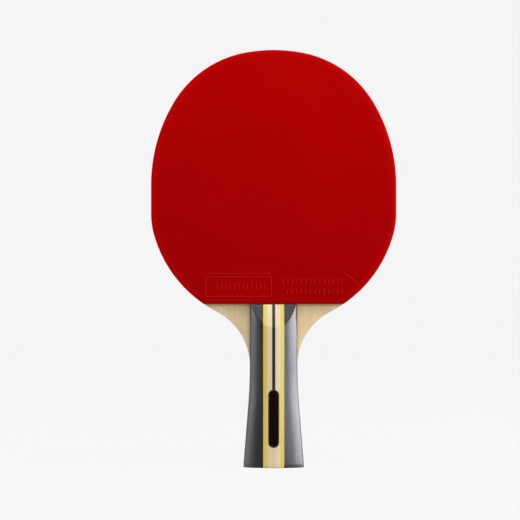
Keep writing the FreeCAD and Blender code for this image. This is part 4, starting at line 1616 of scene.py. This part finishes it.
@dataclass
class Scale:
    """The sticks glued to one face of the handle, and the badge let into them.

    The rings of the badge say how far in each lies and how far below its border's top.
    """

    plan: Plan
    side: Side
    blade_half: float
    crown_rise: float = 8.6
    butt_rise: float = 9.3
    crown_margin: float = 0.4
    top: float = 99.7
    scoop_length: float = 14.0
    scoop_edge: float = 3.3
    softness: float = 0.25
    butt_round: float = 0.6
    butt_turns: int = 5
    crease: float = 0.35
    centre_half: float = 4.1
    centre_columns: int = 14
    stripe: float = 2.3
    stripe_columns: int = 5
    block_columns: int = 26
    inlay_half: float = 0.95
    inlay_columns: int = 4
    badge_half: float = 3.35
    badge_foot: float = 12.4
    badge_length: float = 35.4
    badge_plate: float = 1.2
    badge_proud: float = 0.14
    badge_rings: tuple[Point, ...] = (
        (0.0, 0.1), (0.03, 0.03), (0.1, 0.0), (0.45, 0.0), (0.55, 0.08), (0.67, 0.1),
        (1.1, 0.08), (1.8, 0.06), (2.5, 0.05), (3.1, 0.05))
    badge_step: float = 0.35
    badge_rows: int = 24
    clearance: float = 0.04
    overrun: float = 2.0
    root: float = 1.0
    rows: int = 44
    facet_rows: int = 9

    def build(self) -> None:
        """Make every stick of the scale, and the badge."""
        plate_floor = self.crown_rise - self.badge_plate
        seat = self.crown(self.make_capsule("badge_seat", self.clearance, plate_floor,
                                            [(0.0, self.overrun)]), PALE)
        slot_cutter = self.make_slot_cutter()
        centre = self.crown(self.stick("centre_strip", self.even(
            -self.centre_half, self.centre_half, self.centre_columns)), PALE)
        cut_away(centre, slot_cutter, seat)
        self.finish_stick(centre, "centre_strip", "pale_stick")
        inlay = self.crown(self.stick("inlay_line", self.even(
            -self.inlay_half, self.inlay_half, self.inlay_columns), self.inlay_foot()), INLAY)
        cut_away(inlay, seat)
        self.finish_stick(inlay, "inlay_line", "dark_inlay")
        badge = self.crown(self.make_capsule(
            "badge", 0.0, plate_floor + self.clearance,
            [(depth, self.badge_proud - drop) for depth, drop in self.badge_rings]), BADGE)
        self.finish_stick(badge, "badge", "badge_plate")
        stripe_end = self.centre_half + self.stripe
        for flank in Flank:
            left, right = sorted((flank.value * self.centre_half, flank.value * stripe_end))
            for word, slot, places, finish in (
                    ("_stripe", "yellow_stick", self.even(left, right, self.stripe_columns),
                     YELLOW),
                    ("_block", "dark_lacquer", self.swept(flank, stripe_end), CHARCOAL)):
                node = flank.name.lower() + word
                self.finish_stick(self.crown(self.stick(node, places), finish), node, slot)
        for cutter in (seat, slot_cutter):
            bpy.data.objects.remove(cutter)

    def finish_stick(self, piece: bpy.types.Object, node: str, slot: str) -> None:
        """Settle a piece that stands for the node of the same name."""
        settle(piece, slot, self.side.prefix + "_" + node)

    def inlay_foot(self) -> float:
        """Find the lower end of the inlaid line, under the badge."""
        return self.badge_foot + self.badge_length - self.badge_half

    def ellipse(self, height: float) -> float:
        """Work out the half width of the crown's ellipse at a height."""
        return self.plan.half_width(height) + self.crown_margin

    def even(self, left: float, right: float, count: int) -> Columns:
        """Divide an upright stick evenly.

        Args:
            left: Its left side.
            right: Its right side.
            count: How many columns of faces it gets.

        Returns:
            A function from height and side inset to the places of the columns.
        """
        def places(height: float, drawn_in: float) -> list[float]:
            """Give the same places at every height."""
            return [left + (right - left) * i / count for i in range(count + 1)]
        return places

    def swept(self, flank: Flank, inner: float) -> Columns:
        """Divide an outer block by equal turns of the crown's ellipse.

        Args:
            flank: The side of the handle.
            inner: Where the block meets the stripe.

        Returns:
            A function from height and side inset to the places of the columns.
        """
        count = self.block_columns

        def places(height: float, drawn_in: float) -> list[float]:
            """Give the places from the stripe out to the side.

            Args:
                height: Height above the butt.
                drawn_in: How far the butt's rounding draws the side in.

            Returns:
                The places across the handle.
            """
            spread = self.ellipse(height) - drawn_in
            start = math.asin(inner / spread)
            end = math.asin((spread - self.crown_margin) / spread)
            return [flank.value * spread * math.sin(start + (end - start) * i / count)
                    for i in range(count + 1)]
        return places

    def scoop_line(self, across: float) -> float:
        """Find where the slanted cut leaves the crown.

        Args:
            across: The place across the handle.

        Returns:
            The height there.
        """
        share = min(1.0, abs(across) / self.ellipse(self.top))
        height = self.crown_rise * math.sqrt(1 - share ** 2)
        run = self.scoop_length / (self.crown_rise - self.scoop_edge)
        return min(self.top, self.top - (height - self.scoop_edge) * run)

    def levels(self, start: float, foot: float) -> list[Point]:
        """List the heights of the points of one column.

        Args:
            start: Where the slanted cut leaves the crown on this column.
            foot: The lower end of the stick.

        Returns:
            For each point, its height and how far the butt's rounding draws it in.
        """
        result = []
        base = foot
        if foot == 0.0:
            result = [(self.butt_round * up, self.butt_round * (1 - along))
                      for up, along in quarter(self.butt_turns)[:-1]]
            base = self.butt_round
        last = start - self.crease
        result += [(base + (last - base) * i / self.rows, 0.0) for i in range(self.rows + 1)]
        result.append((start, 0.0))
        after = min(self.top, start + self.crease)
        result += [(after + (self.top - after) * i / self.facet_rows, 0.0)
                   for i in range(self.facet_rows + 1)]
        return result

    def stick(self, name: str, places: Columns, foot: float = 0.0) -> bpy.types.Object:
        """Make the flat net of a stick, to be raised by the crown tree.

        Args:
            name: The stick's bare name.
            places: Gives its columns at a height and side inset.
            foot: Its lower end.

        Returns:
            The piece.
        """
        form = Form()
        columns = []
        for number, top_place in enumerate(places(self.top, 0.0)):
            column = []
            for height, drawn_in in self.levels(self.scoop_line(top_place), foot):
                across = places(height, drawn_in)[number]
                spread = (self.ellipse(height) - drawn_in) * MM
                column += form.add([(across, 0.0, height)], lift=1.0, base=-drawn_in * MM,
                                   spread=spread)
            columns.append(column)
        for one, other in zip(columns, columns[1:]):
            form.bridge(one, other, closed=False)
        rim = columns[0] + [column[-1] for column in columns[1:-1]]
        rim += list(reversed(columns[-1])) + [column[0] for column in reversed(columns[1:-1])]
        ground = form.add([form.points[i] for i in rim], lift=0.0, base=0.0, spread=1.0)
        form.bridge(rim, ground)
        form.cap(ground)
        return self.raw_piece(name, form)

    def raw_piece(self, name: str, form: Form) -> bpy.types.Object:
        """Put a flat net in the scene without welding it, since its levels come later."""
        mesh = form.raw_mesh(name + "_net")
        return new_piece(self.side.prefix + "_" + name + "_dressed", mesh, None)

    def crown(self, piece: bpy.types.Object, finish: Finish) -> bpy.types.Object:
        """Raise a flat net to the crown.

        Args:
            piece: The net.
            finish: The stick's finish.

        Returns:
            The piece.
        """
        run = (self.crown_rise - self.scoop_edge) / self.scoop_length
        apply_nodes(piece, CROWNED_STICK, {
            "Side": float(self.side.value), "Blade Half": self.blade_half * MM,
            "Crown Rise": self.crown_rise * MM, "Butt Rise": self.butt_rise * MM,
            "Flare Height": self.plan.flare_height * MM, "Scoop Top": self.top * MM,
            "Scoop Edge": self.scoop_edge * MM, "Scoop Slope": run,
            "Softness": self.softness * MM, "Material": finish.material()})
        return piece

    def capsule(self, grown: float) -> Loop:
        """Walk the badge's outline clockwise.

        Args:
            grown: How far the outline lies outside the badge.

        Returns:
            The closed loop.
        """
        radius = self.badge_half + grown
        low, high = self.badge_foot + self.badge_half, self.inlay_foot()
        rise, rows = high - low, self.badge_rows
        loop = [(-radius, high)]
        loop += Arc((0.0, high), radius, math.pi, 0.0).points(self.badge_step)
        loop += [(radius, high - rise * i / rows) for i in range(1, rows + 1)]
        loop += Arc((0.0, low), radius, 0.0, -math.pi).points(self.badge_step)
        return loop + [(-radius, low + rise * i / rows) for i in range(1, rows)]

    def make_capsule(self, name: str, grown: float, floor: float,
                     rings: Sequence[Point]) -> bpy.types.Object:
        """Make the badge, or the cutter of its seat.

        Args:
            name: The piece's bare name.
            grown: How far it lies outside the badge's outline.
            floor: The level of its flat back above the blade.
            rings: For each ring of its front, how far in it lies and its level on the crown.

        Returns:
            The piece, as a flat net.
        """
        form = Form()
        numbers = []
        for depth, lift, base in [(0.0, 0.0, floor)] + [(d, 1.0, level) for d, level in rings]:
            loop = inset(self.capsule(grown), depth)
            marks = [self.ellipse(z) * MM for _, z in loop]
            numbers.append(form.add([(x, 0.0, z) for x, z in loop], lift=lift, base=base * MM,
                                    spread=marks, inward=depth))
        form.close(numbers)
        return self.raw_piece(name, form)

    def make_slot_cutter(self) -> bpy.types.Object:
        """Make the block that cuts the inlay's slot out of the centre strip.

        Returns:
            The block.
        """
        form = Form()
        half, foot, top = self.inlay_half, self.inlay_foot(), self.top + self.overrun
        loop = [(-half, top), (half, top), (half, foot), (-half, foot)]
        near = self.side.value * (self.blade_half - self.root)
        far = self.side.value * (self.blade_half + self.butt_rise + self.overrun)
        form.close([form.ring(loop, near), form.ring(loop, far)])
        return new_piece(self.side.prefix + "_slot_cutter", form.mesh("slot_cutter"), PALE)


# ---------------------------------------------------------------- studio


@dataclass(frozen=True)
class Softbox:
    """A soft lamp that looks at the paddle."""

    name: str
    place: Place
    width: float
    height: float
    power: float
    tint: Tone = (1.0, 1.0, 1.0)
    aim: Place = (0.0, 0.0, 0.14)

    def build(self) -> None:
        """Make the lamp."""
        lamp = bpy.data.lights.new(self.name, "AREA")
        lamp.color = self.tint
        lamp.shape = "RECTANGLE"
        lamp.size = self.width
        lamp.size_y = self.height
        lamp.energy = self.power
        thing = bpy.data.objects.new(self.name, lamp)
        thing.location = self.place
        way = Vector(self.aim) - Vector(self.place)
        thing.rotation_euler = way.to_track_quat("-Z", "Y").to_euler()
        bpy.context.scene.collection.objects.link(thing)


@dataclass
class Studio:
    """The sweep, the lamps, the world and the camera, in metres."""

    background: float = 0.912
    world_level: float = 0.6
    sweep_half: float = 4.0
    sweep_back: float = 2.8
    sweep_front: float = 4.0
    sweep_height: float = 2.8
    sweep_bend: float = 0.7
    sweep_turns: int = 9
    lens: float = 215.2
    sensor: float = 36.0
    clip: tuple[float, float] = (0.01, 20.0)
    camera_place: Place = (-0.00835, -1.907, 0.1269)
    lamps: tuple[Softbox, ...] = (
        Softbox("right softbox", (1.0, -0.14, 0.2), 1.1, 0.38, 7.4, COOL),
        Softbox("right rear softbox", (0.85, 0.5, 0.26), 0.6, 0.4, 1.8, COOL),
        Softbox("left softbox", (-1.0, -0.15, 0.24), 0.9, 0.3, 1.4, COOL),
        Softbox("front right card", (0.68, -0.95, 0.08), 0.85, 0.15, 1.15, COOL, (0.0, 0.0, 0.09)),
        Softbox("upper softbox", (0.16, -0.32, 0.78), 0.45, 0.35, 3.1),
    )

    def build(self) -> None:
        """Make the studio."""
        self.make_sweep()
        self.make_world()
        for lamp in self.lamps:
            lamp.build()
        self.make_camera()

    def make_sweep(self) -> None:
        """Make the floor and backdrop in one sweep."""
        profile = [(-self.sweep_front, 0.0), (self.sweep_back - self.sweep_bend, 0.0)]
        profile += [(self.sweep_back - self.sweep_bend * (1 - along), self.sweep_bend * up)
                    for up, along in quarter(self.sweep_turns)[1:]]
        profile.append((self.sweep_back, self.sweep_height))
        points = [(x, y, z) for x in (-self.sweep_half, self.sweep_half) for y, z in profile]
        count = len(profile)
        faces = [(i, i + count, i + count + 1, i + 1) for i in range(count - 1)]
        mesh = bpy.data.meshes.new("sweep_mesh")
        mesh.from_pydata(points, [], faces)
        mesh.polygons.foreach_set("use_smooth", [True] * len(faces))
        new_piece("sweep", mesh, SWEEP)

    def make_world(self) -> None:
        """Make the even light all round, which shows as the pale background."""
        world = bpy.data.worlds.new("studio")
        bpy.context.scene.world = world
        world.use_nodes = True
        world.node_tree.nodes.clear()
        wires = Wiring(world.node_tree)
        way = wires.add("ShaderNodeTexCoord").outputs["Generated"]
        shown = wires.math("MULTIPLY", wires.lit_share(way), self.background)
        level = wires.ramp(wires.seen(), 0.0, 1.0, self.world_level, shown)
        glow = wires.add("ShaderNodeBackground", {"Color": WHITE, "Strength": level})
        output = wires.add("ShaderNodeOutputWorld")
        world.node_tree.links.new(glow.outputs[0], output.inputs["Surface"])

    def make_camera(self) -> None:
        """Make the camera, level and square to the face."""
        data = bpy.data.cameras.new("camera")
        data.sensor_width = self.sensor
        data.lens = self.lens
        data.clip_start, data.clip_end = self.clip
        camera = bpy.data.objects.new("camera", data)
        camera.location = self.camera_place
        camera.rotation_euler = (math.pi / 2, 0.0, 0.0)
        bpy.context.scene.collection.objects.link(camera)
        bpy.context.scene.camera = camera


def main() -> None:
    """Build the paddle and its studio."""
    logging.basicConfig(level=logging.INFO, format="%(name)s: %(message)s")
    bpy.context.scene.view_settings.view_transform = "Standard"
    plan = Plan()
    blade = Blade(plan)
    Studio().build()
    blade.build()
    RubberSheet(plan, Side.FRONT, blade.half(), RED_SKIN, RED_MOULDING).build()
    RubberSheet(plan, Side.REAR, blade.half(), BLACK_SKIN, BLACK_MOULDING).build()
    for side in Side:
        Scale(plan, side, blade.half()).build()


if __name__ == "__main__":
    main()
